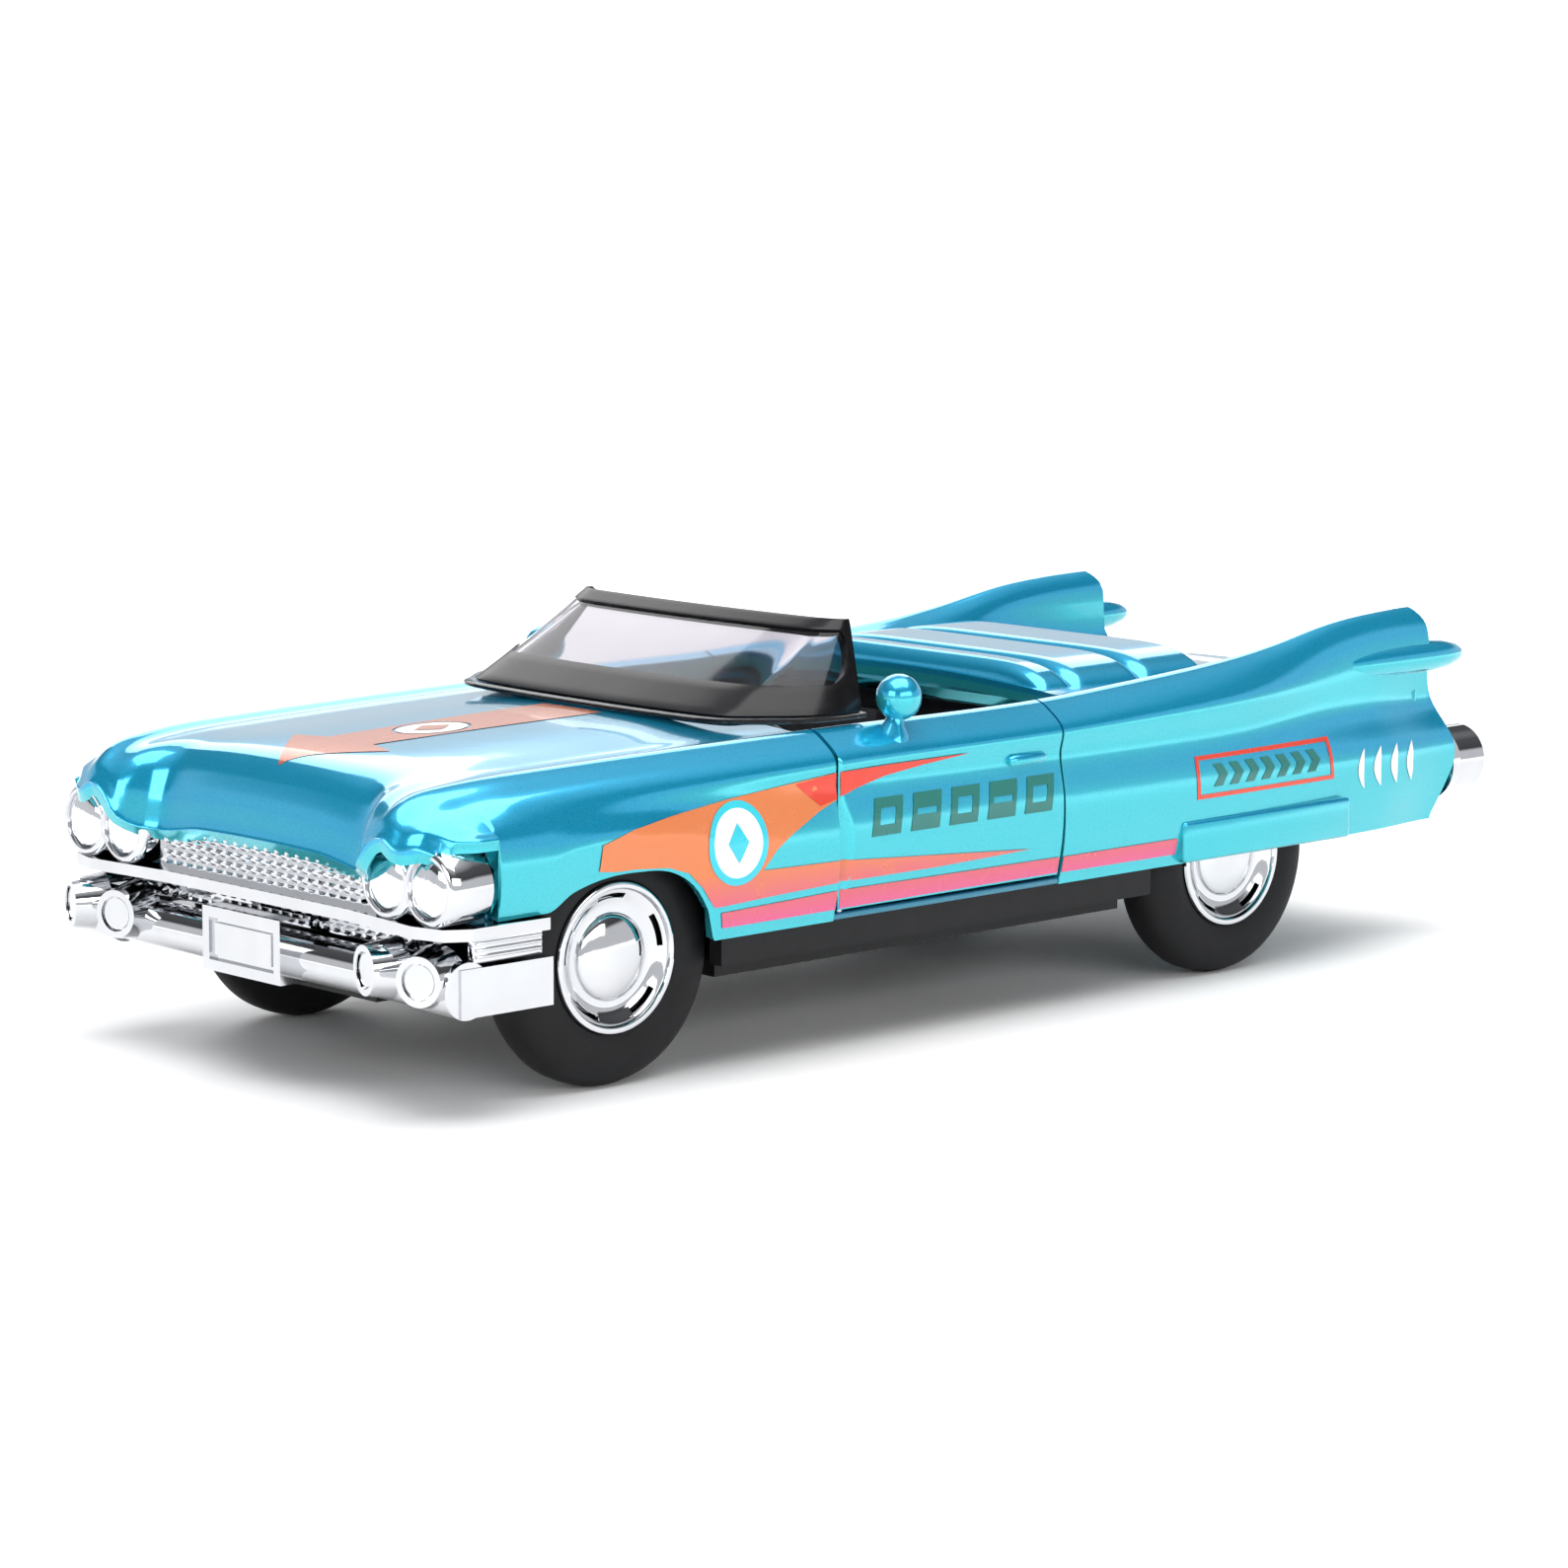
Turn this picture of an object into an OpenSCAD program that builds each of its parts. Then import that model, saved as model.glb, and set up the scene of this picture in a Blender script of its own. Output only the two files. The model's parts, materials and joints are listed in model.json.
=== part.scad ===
// Finned open-top car with a pull-back motor.
// X runs forward, Y to the car's left, Z up; the ground is z = 0.
// All sizes are in millimetres.

/* [Overall] */
// Distance between the front and rear axles
wheelbase = 84; // [70:1:100]
// Height of the belt line above the ground at the doors
belt_z = 31; // [29:0.5:34]
// Half of the body's width at the doors
body_half = 28.5; // [28.4:0.1:32]
// Thickness of the cast body skin
skin = 1.8; // [1.4:0.1:2.2]

/* [Wheels] */
// Outer radius of a tyre
tyre_r = 12.2; // [11:0.1:12.6]
// Width of a tyre
tyre_w = 6; // [5:0.1:6.4]
// Outer radius of the plated wheel
rim_r = 7.1; // [6:0.1:8]
// Distance from the middle of the car to a tyre's outer face
track_half = 25.2; // [24.5:0.1:25.6]
// Radius of the axle rods
axle_r = 1; // [0.8:0.05:1.2]

/* [Doors] */
// Clearance of the shut line around a door
door_gap = 0.3; // [0.3:0.05:0.5]
// Length of a door along the side
door_len = 30; // [26:0.5:32]
// Radius of a door hinge pin
hinge_r = 0.4; // [0.3:0.05:0.5]

/* [Motor] */
// Gear module, pitch diameter over teeth
gear_m = 0.4; // [0.35:0.01:0.45]
// Teeth on the rear axle pinion
pinion_teeth = 10; // [8:1:12]
// Teeth on the large half of the compound gear
compound_big = 22; // [18:1:26]
// Teeth on the small half of the compound gear
compound_small = 10; // [8:1:12]
// Teeth round the spring barrel
barrel_teeth = 26; // [22:1:30]

/* [Fits] */
// Radial clearance of a turning shaft in its bore
run_fit = 0.06; // [0.02:0.01:0.1]
// Gap between neighbouring fixed pieces
seat_gap = 0.05; // [0.02:0.01:0.1]
// Radius of the hole in the transit post
post_bore_r = 1.2; // [0.8:0.1:1.6]

/* [Hidden] */

$fn = 48;
eps = 0.01;

front_x = wheelbase / 2 + 7.5;      // front axle position
rear_x = front_x - wheelbase;       // rear axle position
nose_x = front_x + 25;              // tip of the headlamp brows
tail_x = rear_x - 30.5;             // rear edge of the fins
tyre_in = track_half - tyre_w;      // inner face of a tyre
body_low = 13;                      // lower edge of the body sides
hood_z = belt_z + 0.3;              // bonnet height at the windscreen
seam_x = 24.25;                     // front edge of the doors
hinge_x = seam_x - 0.8;             // hinge axis, inside the rolled front edge
hinge_y = body_half - 1.5;
door_rear = seam_x - door_len;      // rear edge of the doors
door_low = 14;                      // lower edge of a door
door_skin = 2.4;                    // thickness of a door
knuckle_r = 0.8;                    // body knuckle that holds the hinge pin
knuckle_z = [19.5, 21.5];
sill_top = door_low - 0.3;
lamp_z = 21.3;                      // height of the headlamps
lamp_x = front_x + 22.6;            // face of the headlamps
lamp_y = [20, 26.1];                // the two lamps of a side
lamp_r = 3.3;
bump_z = 13.3;                      // height of the bumper lamps
grille_x = front_x + 20;            // back panel of the grille
bar_top = 14.4;                     // top of the bumper bar
compound_x = rear_x + gear_m * (pinion_teeth + compound_big) / 2 + 0.05;
barrel_x = compound_x + gear_m * (compound_small + barrel_teeth) / 2 + 0.05;
motor_z = tyre_r;
box_x0 = rear_x - 6.4;               // ends of the motor box
box_x1 = barrel_x + gear_m * barrel_teeth / 2 + 2;
cockpit_x0 = max(-11, box_x1 + 2.6);
cockpit_x1 = 23;
cockpit_half = 21;
floor_z = 14.8;
bump_len = 3.4;                     // length of a bumper lamp
bump_face_r = 2.3;                  // radius of its face
bump_turn = 20;                     // how far the outer lamp is turned outwards
// the rear pods end as far behind the origin as the outer bumper lamps reach in front of it
rear_edge_x = -(grille_x + 1.2 + bump_len * cos(bump_turn) + bump_face_r * sin(bump_turn));

// ---- interpolation along the body ----
function at(t, x, i = 0) = (i >= len(t) - 2 || x >= t[i + 1][0]) ? i : at(t, x, i + 1);
function slope(t, i) = (i == 0 || i == len(t) - 1) ? 0
  : (t[i + 1][1] - t[i - 1][1]) / (t[i + 1][0] - t[i - 1][0]);
// smooth value of table t, ordered from front to rear, at station x
function run(t, x) = let (i = at(t, x), h = t[i + 1][0] - t[i][0],
    u = min(1, max(0, (x - t[i][0]) / h)), a = t[i][1], b = t[i + 1][1],
    m = slope(t, i) * h, n = slope(t, i + 1) * h)
  a + u * (m + u * (3 * (b - a) - 2 * m - n + u * (2 * (a - b) + m + n)));
// straight value between the points of table t
function ramp(t, x) = let (i = at(t, x), u = (x - t[i][0]) / (t[i + 1][0] - t[i][0]))
  t[i][1] + min(1, max(0, u)) * (t[i + 1][1] - t[i][1]);

F = nose_x;
R = tail_x;
B = belt_z;
W = body_half;
side_y = [[F, W - 0.7], [F - 4, W + 0.3], [front_x, W + 0.2], [0, W], [rear_x, W - 0.2], [R + 10, W - 1], [R, W - 2.2]];
ridge_z = [[F, B - 5.4], [F - 1, B - 3.6], [F - 3, B - 2.1], [F - 6, B - 1.4], [F - 14, B - 0.8], [24, B - 0.1], [-4, B],
  [-20, B + 0.8], [-33, B + 1.7], [-41, B + 2.6], [-50, B + 4.1], [-57, B + 4.7], [R, B + 4.9]];
ridge_y = [[F, 22.2], [F - 12, 23.2], [24, W - 4.2], [-4, W - 4], [-33, W - 4.1], [-57, W - 4.6], [R, W - 4.8]];
deck_z = [[F, B - 8.5], [F - 0.8, B - 5.4], [F - 2, B - 2.9], [F - 4, B - 1.4], [F - 8, B - 0.7], [F - 20, B - 0.2],
  [32, hood_z], [0, B + 0.6], [-14, B + 0.8], [-33, B - 0.2], [-50, B - 1.4], [R, B - 3.2]];
// how far the fins have grown out of the wings, 0 to 1
fin = [[F, 0], [-20, 0], [-33, 0.15], [-46, 0.8], [-57, 1], [R, 1]];
// lower edge of the sides, with the front wheel arch and the headlamp opening
arch = [[F, 25], [F - 6.8, 25], [F - 7.2, 18], [front_x + 11, 18.1], [front_x + 8, 19.6], [front_x + 4, 20.5],
  [front_x, 20.6], [front_x - 3.6, 20.2], [front_x - 6.6, 18.6], [front_x - 8.6, 16], [front_x - 9.6, body_low], [R, body_low]];

// control points of one half section, from the lower edge up over the ridge to the middle
function half(x, edge_z) = let (s = run(side_y, x), r = run(ridge_y, x), z = run(ridge_z, x),
    d = run(deck_z, x), k = run(fin, x), top = min(26, z - 1.2), low = min(edge_z, top - 0.3))
  [[s - 0.8 * (top - low) / 12, low], [s - 0.1, low + 0.32 * (top - low)], [s, low + 0.66 * (top - low)], [s - 0.7 - 0.9 * k, top],
   [r + 3.6 - 1.7 * k, (top + z - 1) / 2 + 0.4], [r + 1.8 - 1 * k, z - 0.9 - 1.1 * k], [r, z], [r - 1.6 + 0.6 * k, z - 0.4 - 1.6 * k],
   [r - 5.4 + 2.6 * k, d - 0.7], [9, d - 0.15], [0, d]];
last = 10;                          // index of the point in the middle
inner_top = 7;                      // point where a door ends, inside the ridge
function mirror_half(h) = concat(h, [for (i = [last - 1 : -1 : 0]) [-h[i][0], h[i][1]]]);
// direction out of the skin at point i of a section
function out(p, i) = let (a = p[max(0, i - 1)], b = p[min(len(p) - 1, i + 1)], d = b - a) [d[1], -d[0]] / norm(d);
// inside of the skin: it runs straight past the root of a fin
function inside(p, t, k) = let (n = len(p), o = [for (i = [0 : n - 1]) p[i] - t * out(p, i)])
  [for (i = [0 : n - 1]) let (e = i <= last ? i : n - 1 - i, a = i <= last ? 3 : n - 4, b = i <= last ? 8 : n - 9)
    e == 0 ? [o[i][0], p[i][1]]
    : e > 3 && e < 8 ? (1 - k) * o[i] + k * (o[a] + (o[b] - o[a]) * (e - 3) / 5) : o[i]];

// the bonnet's lip stands back between the brows, the brows round off, and the tail bulges at mid height
function warp(x, p) = x - 3 * min(1, max(0, (x - 62) / 11)) * min(1, max(0, (18.5 - abs(p[0])) / 3))
  - 3.2 * min(1, max(0, (x - 64) / 10)) * pow(min(1, max(0, (abs(p[0]) - 23) / 5)), 2)
  - 3.6 * min(1, max(0, (-52 - x) / 13)) * min(1, max(0, (29 - p[1]) / 8)) * (p[1] < 19 ? max(0.2, (p[1] - 12) / 7) : 1);

// a skin of thickness t through stations xs, open where keep(i, j) is false; with lip the first
// stations thin out, and the inner edge of station `edge` is drawn forward by 1 mm
module skin_of(xs, lows, t, keep, lip = false, edge = -1) {
  n = 2 * last + 1;
  m = len(xs);
  sec = [for (i = [0 : m - 1]) mirror_half(half(xs[i], lows[i]))];
  ins = [for (i = [0 : m - 1]) inside(sec[i], t * (lip ? min(1, 0.2 + 0.3 * i) : 1), run(fin, xs[i]))];
  has = function(i, j) i >= 0 && i < m - 1 && j >= 0 && j < n - 1 && keep(i, j);
  P = function(i, j) i * n + j;
  Q = function(i, j) (m + i) * n + j;
  // four corners, split along the diagonal that mirrors across the middle
  quad = function(a, b, c, d, j) j < last ? [[c, b, a], [d, c, a]] : [[d, b, a], [d, c, b]];
  polyhedron(
    points = concat(
      [for (i = [0 : m - 1]) for (p = sec[i]) [warp(xs[i], p), p[0], p[1]]],
      [for (i = [0 : m - 1]) for (j = [0 : n - 1]) let (p = ins[i][j])
        [warp(xs[i], sec[i][j]) + (edge == i ? 1 : 0), p[0], p[1]]]),
    faces = [for (i = [0 : m - 2]) for (j = [0 : n - 2]) if (has(i, j)) each concat(
      quad(P(i, j), P(i + 1, j), P(i + 1, j + 1), P(i, j + 1), j),
      quad(Q(i, j + 1), Q(i + 1, j + 1), Q(i + 1, j), Q(i, j), j < last ? last : 0),
      has(i - 1, j) ? [] : quad(P(i, j + 1), Q(i, j + 1), Q(i, j), P(i, j), j),
      has(i + 1, j) ? [] : quad(P(i + 1, j), Q(i + 1, j), Q(i + 1, j + 1), P(i + 1, j + 1), j),
      has(i, j - 1) ? [] : quad(P(i, j), Q(i, j), Q(i + 1, j), P(i + 1, j), j),
      has(i, j + 1) ? [] : quad(P(i + 1, j + 1), Q(i + 1, j + 1), Q(i, j + 1), P(i, j + 1), j))]);
}

module both() {
  children();
  mirror([0, 1, 0]) children();
}

// block from low corner a to high corner b
module box(a, b) {
  translate(a) cube(b - a);
}

// stations of the body, front to rear; the doors and the cockpit interrupt it
front_xs = [F, F - 0.8, F - 2, F - 4, F - 6.8, F - 7.2, front_x + 14, front_x + 11, front_x + 8, front_x + 4, front_x,
  front_x - 3.6, front_x - 6.6, front_x - 8.6, front_x - 9.6, 33, seam_x + 0.5];
rear_xs = [door_rear - door_gap, cockpit_x0, -16, -21, -27, -33, -38, -42, -46, -50, -54, -58, -61.5, R];
function beside(j) = j < inner_top || j >= 2 * last - inner_top;

// cast posts under the body that the base screws into
post_x = [front_x - 17.5, rear_x - 13];
module body_posts() {
  for (x = post_x) translate([x, 0, 11.2]) difference() {
    cylinder(r = 2.6, h = ramp(deck_z, x) - 12);
    translate([0, 0, -eps]) cylinder(r = 0.95, h = 9);
  }
}

// post inside the wing with the knuckle of the hinge, and the sill under the door
module door_frame() {
  box([seam_x + 1.2, W - 6.8, body_low], [seam_x + 3.2, W - 3.9, belt_z - 1.4]);
  translate([hinge_x, hinge_y, knuckle_z[0]]) {
    cylinder(r = knuckle_r, h = knuckle_z[1] - knuckle_z[0]);
    rotate([0, 0, -62]) translate([0, 0.1 - knuckle_r, 0]) cube([5, 2 * knuckle_r - 0.2, knuckle_z[1] - knuckle_z[0]]);
  }
  box([door_rear - 2.5, W - 6.7, body_low], [seam_x + 2.4, W - 0.9, sill_top]);
}

module boot_cover() {
  for (x = [-14, -20.6, -27.2]) {
    translate([x, -17.6, B + 0.4]) rotate([-90, 0, 0]) cylinder(r = 2.3, h = 35.2);
    translate([x - 3.9, -17.6, B + 0.3]) rotate([-90, 0, 0]) cylinder(r = 2.2, h = 35.2);
    box([x - 3.9, -17.55, B - 0.5], [x, 17.55, B + 2.5]);
  }
}

// bullet lamp standing out of a fin
module bullet() {
  translate([-50, W - 4.1, B - 0.9]) rotate([0, -90, 0]) rotate_extrude()
    polygon([[0, 0], [0.6, 1.2], [1.2, 4], [1.5, 8], [1.5, 13], [1.3, 16.6], [0.9, 19.5], [0.5, 20.9], [0, 21.3]]);
}

module skirt_panel() {
  box([rear_x - 14.4, W - 2.6, body_low + 0.2], [rear_x + 11.2, W + 0.25, 17.2]);
}

// wall behind the grille, joined to the bonnet
module front_wall() box([F - 8.1, -19, 22], [F - 7, 19, B - 2]);

module body_shell() color([0.1, 0.72, 0.8]) {
  difference() {
    union() {
      skin_of(front_xs, [for (x = front_xs) ramp(arch, x)], skin, function(i, j) true, true, len(front_xs) - 1);
      skin_of(rear_xs, [for (x = rear_xs) body_low], skin, function(i, j) i > 0 || beside(j));
      both() door_frame();
      front_wall();
      boot_cover();
      both() bullet();
      both() skirt_panel();
      body_posts();
    }
    both() translate([hinge_x, hinge_y, body_low + 0.2]) cylinder(r = hinge_r, h = knuckle_z[1] - 0.6 - body_low);
  }
}

door_xs = [for (i = [0 : 5]) seam_x - door_len * i / 5];
module door(side) color([0.1, 0.72, 0.8]) mirror([0, side > 0 ? 0 : 1, 0]) {
  difference() {
    union() {
      skin_of(door_xs, [for (x = door_xs) door_low], door_skin, function(i, j) j < inner_top);
      // door mirror on its stalk
      translate([15, W - 2.6, B - 1.4]) cylinder(r1 = 1.6, r2 = 0.8, h = 2.4);
      translate([15, W - 2.6, B + 1.9]) sphere(r = 1.9);
      // handle
      translate([-2.4, W - 0.8, 25.4]) rotate([0, 90, 0]) cylinder(r = 0.55, h = 5);
    }
    translate([hinge_x, hinge_y, 10]) cylinder(r = hinge_r + run_fit, h = knuckle_z[0] - 9);
    // slot for the knuckle and its web
    translate([hinge_x, hinge_y, knuckle_z[0] - door_gap]) {
      cylinder(r = knuckle_r + door_gap, h = knuckle_z[1] - knuckle_z[0] + 2 * door_gap);
      translate([-knuckle_r - door_gap, -6, 0]) cube([6, 6, knuckle_z[1] - knuckle_z[0] + 2 * door_gap]);
    }
  }
}
module door_left() door(1);
module door_right() door(-1);

module hinge_pin() color([0.6, 0.6, 0.62])
  translate([hinge_x, hinge_y, body_low + 0.25]) cylinder(r = hinge_r - 0.01, h = knuckle_z[1] - 0.75 - body_low);
module hinge_pin_left() hinge_pin();
module hinge_pin_right() mirror([0, 1, 0]) hinge_pin();

// ---- windscreen: plan outline at height z, drawn between base and header, grown by g ----
screen_low = belt_z + 0.95;
screen_top = belt_z + 9.2;
function screen_plan(k, g) = let (xf = 31 - 14.6 * k, xs = 17.5 - 3.2 * k, yf = 17.5 - 2.5 * k, ys = 23.8 - 5.2 * k)
  [[xs, -ys - g], [xf - 6.5, -ys - g + 0.2], [xf - 2, -yf - 2.6 - g], [xf - 0.2 + g, -yf], [xf + 0.5 + g, -yf / 2],
   [xf + 0.5 + g, yf / 2], [xf - 0.2 + g, yf], [xf - 2, yf + 2.6 + g], [xf - 6.5, ys + g - 0.2], [xs, ys + g]];
module screen_slab(k, g) {
  z = screen_low + (screen_top - screen_low) * k;
  translate([0, 0, z]) linear_extrude(0.02) polygon(screen_plan(k, g));
}
module screen_solid(k0, k1, g) {
  hull() {
    screen_slab(k0, g);
    screen_slab(k1, g);
  }
}
module windscreen_glass() color([0.3, 0.32, 0.36, 0.4]) {
  difference() {
    screen_solid(-0.02, 0.93, -0.55);
    screen_solid(-0.12, 1.1, -1.35);
    box([0, -30, 0], [16.6, 30, 60]);
  }
}
module windscreen_frame() color([0.04, 0.04, 0.045]) {
  difference() {
    screen_solid(-0.04, 1, 0);
    screen_solid(-0.12, 0.93 + seat_gap / 9, -0.5);
    screen_solid(0.5, 1.1, -1.6);
    // light of the screen, front and sides
    hull() {
      translate([0, 0, screen_low + 1.9]) linear_extrude(0.02) polygon([[19.4, -30], [40, -16], [40, 16], [19.4, 30]]);
      translate([0, 0, screen_top - 0.9]) linear_extrude(0.02) polygon([[17.4, -30], [40, -14], [40, 14], [17.4, 30]]);
    }
    box([0, -30, 0], [15.4, 30, 60]);
  }
}

module interior_tub() color([0.05, 0.05, 0.055]) {
  difference() {
    box([cockpit_x0 - 1.2, -cockpit_half + 0.1, floor_z - 1.2], [cockpit_x1 + 4, cockpit_half - 0.1, belt_z - 2.3]);
    box([cockpit_x0, -cockpit_half + 1.3, floor_z], [cockpit_x1 + 2.8, cockpit_half - 1.3, belt_z]);
  }
}

// bench with two rounded backs
module bench(x, z, back) {
  box([x, -18.4, z], [x + 9.5, 18.4, z + 4.4]);
  translate([x + 1.5, 0, z + 3.8]) rotate([0, -12, 0]) for (y = [-9.4, 9.4])
    translate([-1.4, y - 8.8, 0]) cube([2.6, 17.6, back]);
}
module front_seat() color([0.06, 0.06, 0.065]) bench(4.6, floor_z + seat_gap, 8.6);
module rear_seat() color([0.06, 0.06, 0.065]) bench(cockpit_x0 + 1.8, floor_z + seat_gap, 8.6);

module dashboard() color([0.05, 0.05, 0.055]) {
  difference() {
    union() {
      box([cockpit_x1 - 0.6, -19.4, 23.5], [cockpit_x1 + 2.7, 19.4, belt_z - 2.2]);
      translate([cockpit_x1 - 0.6, 10, 26.3]) rotate([0, -90, 0]) cylinder(r = 2.2, h = 0.6);
    }
    translate([cockpit_x1 + 2, 10, 24.7]) rotate([0, -90, 0]) cylinder(r = 0.72, h = 8);
  }
}

// wheel rim, spokes and column, tilted towards the driver
module steering_wheel() color([0.07, 0.07, 0.075]) {
  translate([cockpit_x1 - 6.4, 10, 24.7]) {
    rotate([0, 90, 0]) {
      rotate_extrude() translate([4.1, 0]) circle(r = 0.45, $fn = 24);
      for (a = [0, 120, 240]) rotate([0, 0, a]) translate([0, -0.4, -0.3]) cube([4, 0.8, 0.6]);
      cylinder(r = 1.2, h = 1, center = true);
      cylinder(r = 0.7, h = 7.6);
    }
  }
}

// ---- plated front end ----
module lamp_pod(side) color([0.85, 0.86, 0.88]) mirror([0, side > 0 ? 0 : 1, 0]) {
  difference() {
    for (y = lamp_y) translate([grille_x - 2 + seat_gap, y, lamp_z]) rotate([0, 90, 0])
      cylinder(r = lamp_r, h = lamp_x - grille_x + 2);
    for (y = lamp_y) translate([lamp_x - 0.3, y, lamp_z]) rotate([0, 90, 0]) cylinder(r = 2.5, h = 2);
    // flat that clears the corner of the brow
    box([F - 3.6, 26.4, 23.8], [F, 30, 26]);
  }
  for (y = lamp_y) translate([lamp_x - 0.8, y, lamp_z]) rotate([0, 90, 0]) rotate_extrude()
    polygon([[0, 0], [2.3, 0], [2.3, 0.7], [1.9, 1], [1.2, 1.2], [0, 1.3]]);
}
module headlamp_pod_left() lamp_pod(1);
module headlamp_pod_right() lamp_pod(-1);

module studs(x, y0, y1, z0, z1, cols, rows) {
  for (i = [0 : cols - 1], j = [0 : rows - 1])
    translate([x - eps, y0 + (y1 - y0) * i / (cols - 1), z0 + (z1 - z0) * j / (rows - 1)])
      rotate([0, 90, 0]) cylinder(r1 = 0.48, r2 = 0.22, h = 0.6, $fn = 6);
}
// studded panel with the blade across it
module grille() color([0.85, 0.86, 0.88]) {
  box([grille_x, -16.4, 17], [grille_x + 1, 16.4, 22.3]);
  studs(grille_x + 1, -14.8, 14.8, 18.7, 21.6, 20, 4);
  // lower row, set back behind the bumper
  box([grille_x - 1.6, -22.4, bar_top + 0.1], [grille_x - 0.7, 22.4, 17]);
  studs(grille_x - 0.7, -21, 21, 15.1, 16.2, 28, 2);
  box([grille_x - 1.6, -24, 16.9], [grille_x + 1, 24, 17.7]);
  // blade, bowed forward and wrapped round the wings
  translate([0, 0, 16.8]) linear_extrude(1.1) polygon([[front_x + 11.4, W + 0.7], [grille_x + 0.4, W + 0.7],
    [grille_x + 2.6, W - 0.6], [grille_x + 3.5, W - 4], [grille_x + 2.4, 14], [grille_x + 2.4, -14],
    [grille_x + 3.5, 4 - W], [grille_x + 2.6, 0.6 - W], [grille_x + 0.4, -W - 0.7], [front_x + 11.4, -W - 0.7],
    [front_x + 11.4, -W + 1], [grille_x - 1, -W + 1], [grille_x + 0.4, -24], [grille_x + 0.4, 24],
    [grille_x - 1, W - 1], [front_x + 11.4, W - 1]]);
}

module bumper_lamp(y, a) {
  translate([grille_x + 1.2, y, bump_z]) rotate([0, 0, a]) rotate([0, 90, 0]) {
    difference() {
      cylinder(r1 = 2.9, r2 = bump_face_r, h = bump_len);
      translate([0, 0, bump_len - 0.5]) cylinder(r = 1.7, h = 1);
    }
    translate([0, 0, bump_len - 1]) cylinder(r = 1.5, h = 0.8);
  }
}
module front_bumper() color([0.85, 0.86, 0.88]) {
  both() {
    bumper_lamp(19.8, -14);
    bumper_lamp(25.4, bump_turn);
    // wrap-round end beside the wheel
    translate([front_x + 10.9, W - 1.9, 9.9]) cube([grille_x - front_x - 9.4, 2.4, 4.4]);
    translate([grille_x + 0.6, 22.6, bump_z - 1]) rotate([-90, 0, 0]) cylinder(r = 2.6, h = W - 22.3);
  }
  translate([grille_x + 0.6, -23, bar_top - 2.2]) rotate([-90, 0, 0]) cylinder(r = 2.2, h = 46);
  box([grille_x - 5, -23, 11.2], [grille_x + 0.6, 23, 13.2]);
  difference() {
    box([grille_x + 0.4, -5.9, 9.9], [grille_x + 3.9, 5.9, 15.9]);
    box([grille_x + 3.4, -4.9, 10.9], [grille_x + 5, 4.9, 14.9]);
  }
  box([grille_x + 3.2, -4.3, 11.4], [grille_x + 3.7, 4.3, 14.4]);
}

// ---- plated rear end ----
module rear_bumper() color([0.85, 0.86, 0.88]) {
  box([tail_x - 3.2, -23, 13.6], [tail_x - 1, 23, belt_z - 6.6]);
  box([tail_x - 4.4, -18, 14.4], [tail_x - 3.1, 18, 17.6]);
  for (i = [0 : 16]) box([tail_x - 3.9, -17.2 + i * 2.1, 18.4], [tail_x - 3.1, -16.5 + i * 2.1, 23.6]);
  both() translate([tail_x - 3.1, 22, 18.5]) rotate([0, -90, 0]) {
    cylinder(r = 2.4, h = 2);
    translate([0, 0, 0.65]) cylinder(r1 = 4.2, r2 = 3.7, h = 1.8);
    translate([0, 0, 0.65]) difference() {
      cylinder(r = 3.6, h = tail_x - 3.75 - rear_edge_x);
      translate([0, 0, tail_x - 4.75 - rear_edge_x]) cylinder(r = 2.9, h = 2);
    }
  }
}

// ---- base ----
saddle_h = 15;
module axle_bearing(x) {
  for (y = [-11, 11]) box([x - 2.6, y - 1.2, 8.6], [x + 2.6, y + 1.2, saddle_h]);
}
module chassis_base() color([0.045, 0.045, 0.05]) {
  difference() {
    union() {
      box([rear_x - 24, -12.5, 8.6], [front_x + 18, 12.5, 10.2]);
      box([rear_x + 14.6, -W + 1.3, 10.3], [front_x - 11, W - 1.3, body_low - seat_gap]);
      box([rear_x + 16, -24, 8.6], [front_x - 13, 24, 10.4]);
      axle_bearing(front_x);
      for (x = post_x) translate([x, 0, 8.6]) cylinder(r = 3.2, h = 2.5);
    }
    // inside of the side sills
    box([rear_x + 16, -W + 3.6, 10.9], [front_x - 12.4, W - 3.6, 20]);
    translate([front_x, -20, tyre_r]) rotate([-90, 0, 0]) cylinder(r = axle_r + run_fit, h = 40);
    translate([rear_x, -20, tyre_r]) rotate([-90, 0, 0]) cylinder(r = axle_r + 0.4, h = 40);
    // motor well, and room for the front tyres beside the sills
    box([box_x0 - 0.8, -10.2, 5], [box_x1 + 1.3, 10.2, 20]);
    both() translate([front_x, tyre_in - 0.4, tyre_r]) rotate([-90, 0, 0]) cylinder(r = tyre_r + 0.4, h = tyre_w + 0.7);
    for (x = post_x) translate([x, 0, 0]) {
      translate([0, 0, 5]) cylinder(r = 1.15, h = 8);
      translate([0, 0, 8.6 - eps]) cylinder(r = 2.05, h = 1.1);
    }
    translate([16, 0, 5]) cylinder(r = 2.4, h = 8);
  }
}
module base_screws() color([0.6, 0.6, 0.62]) {
  for (x = post_x) translate([x, 0, 8.8]) {
    difference() {
      cylinder(r = 1.95, h = 0.8);
      box([-1.4, -0.25, -eps], [1.4, 0.25, 0.4]);
      box([-0.25, -1.4, -eps], [0.25, 1.4, 0.4]);
    }
    cylinder(r = 0.9, h = 9);
  }
}
module transit_post() color([0.045, 0.045, 0.05]) translate([16, 0, 0]) {
  difference() {
    union() {
      translate([0, 0, 5.6]) cylinder(r = 3.2, h = 3);
      translate([0, 0, 5.6]) cylinder(r = 2.35, h = 4.6);
    }
    translate([0, 0, 5]) cylinder(r = post_bore_r, h = 8);
  }
}

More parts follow.
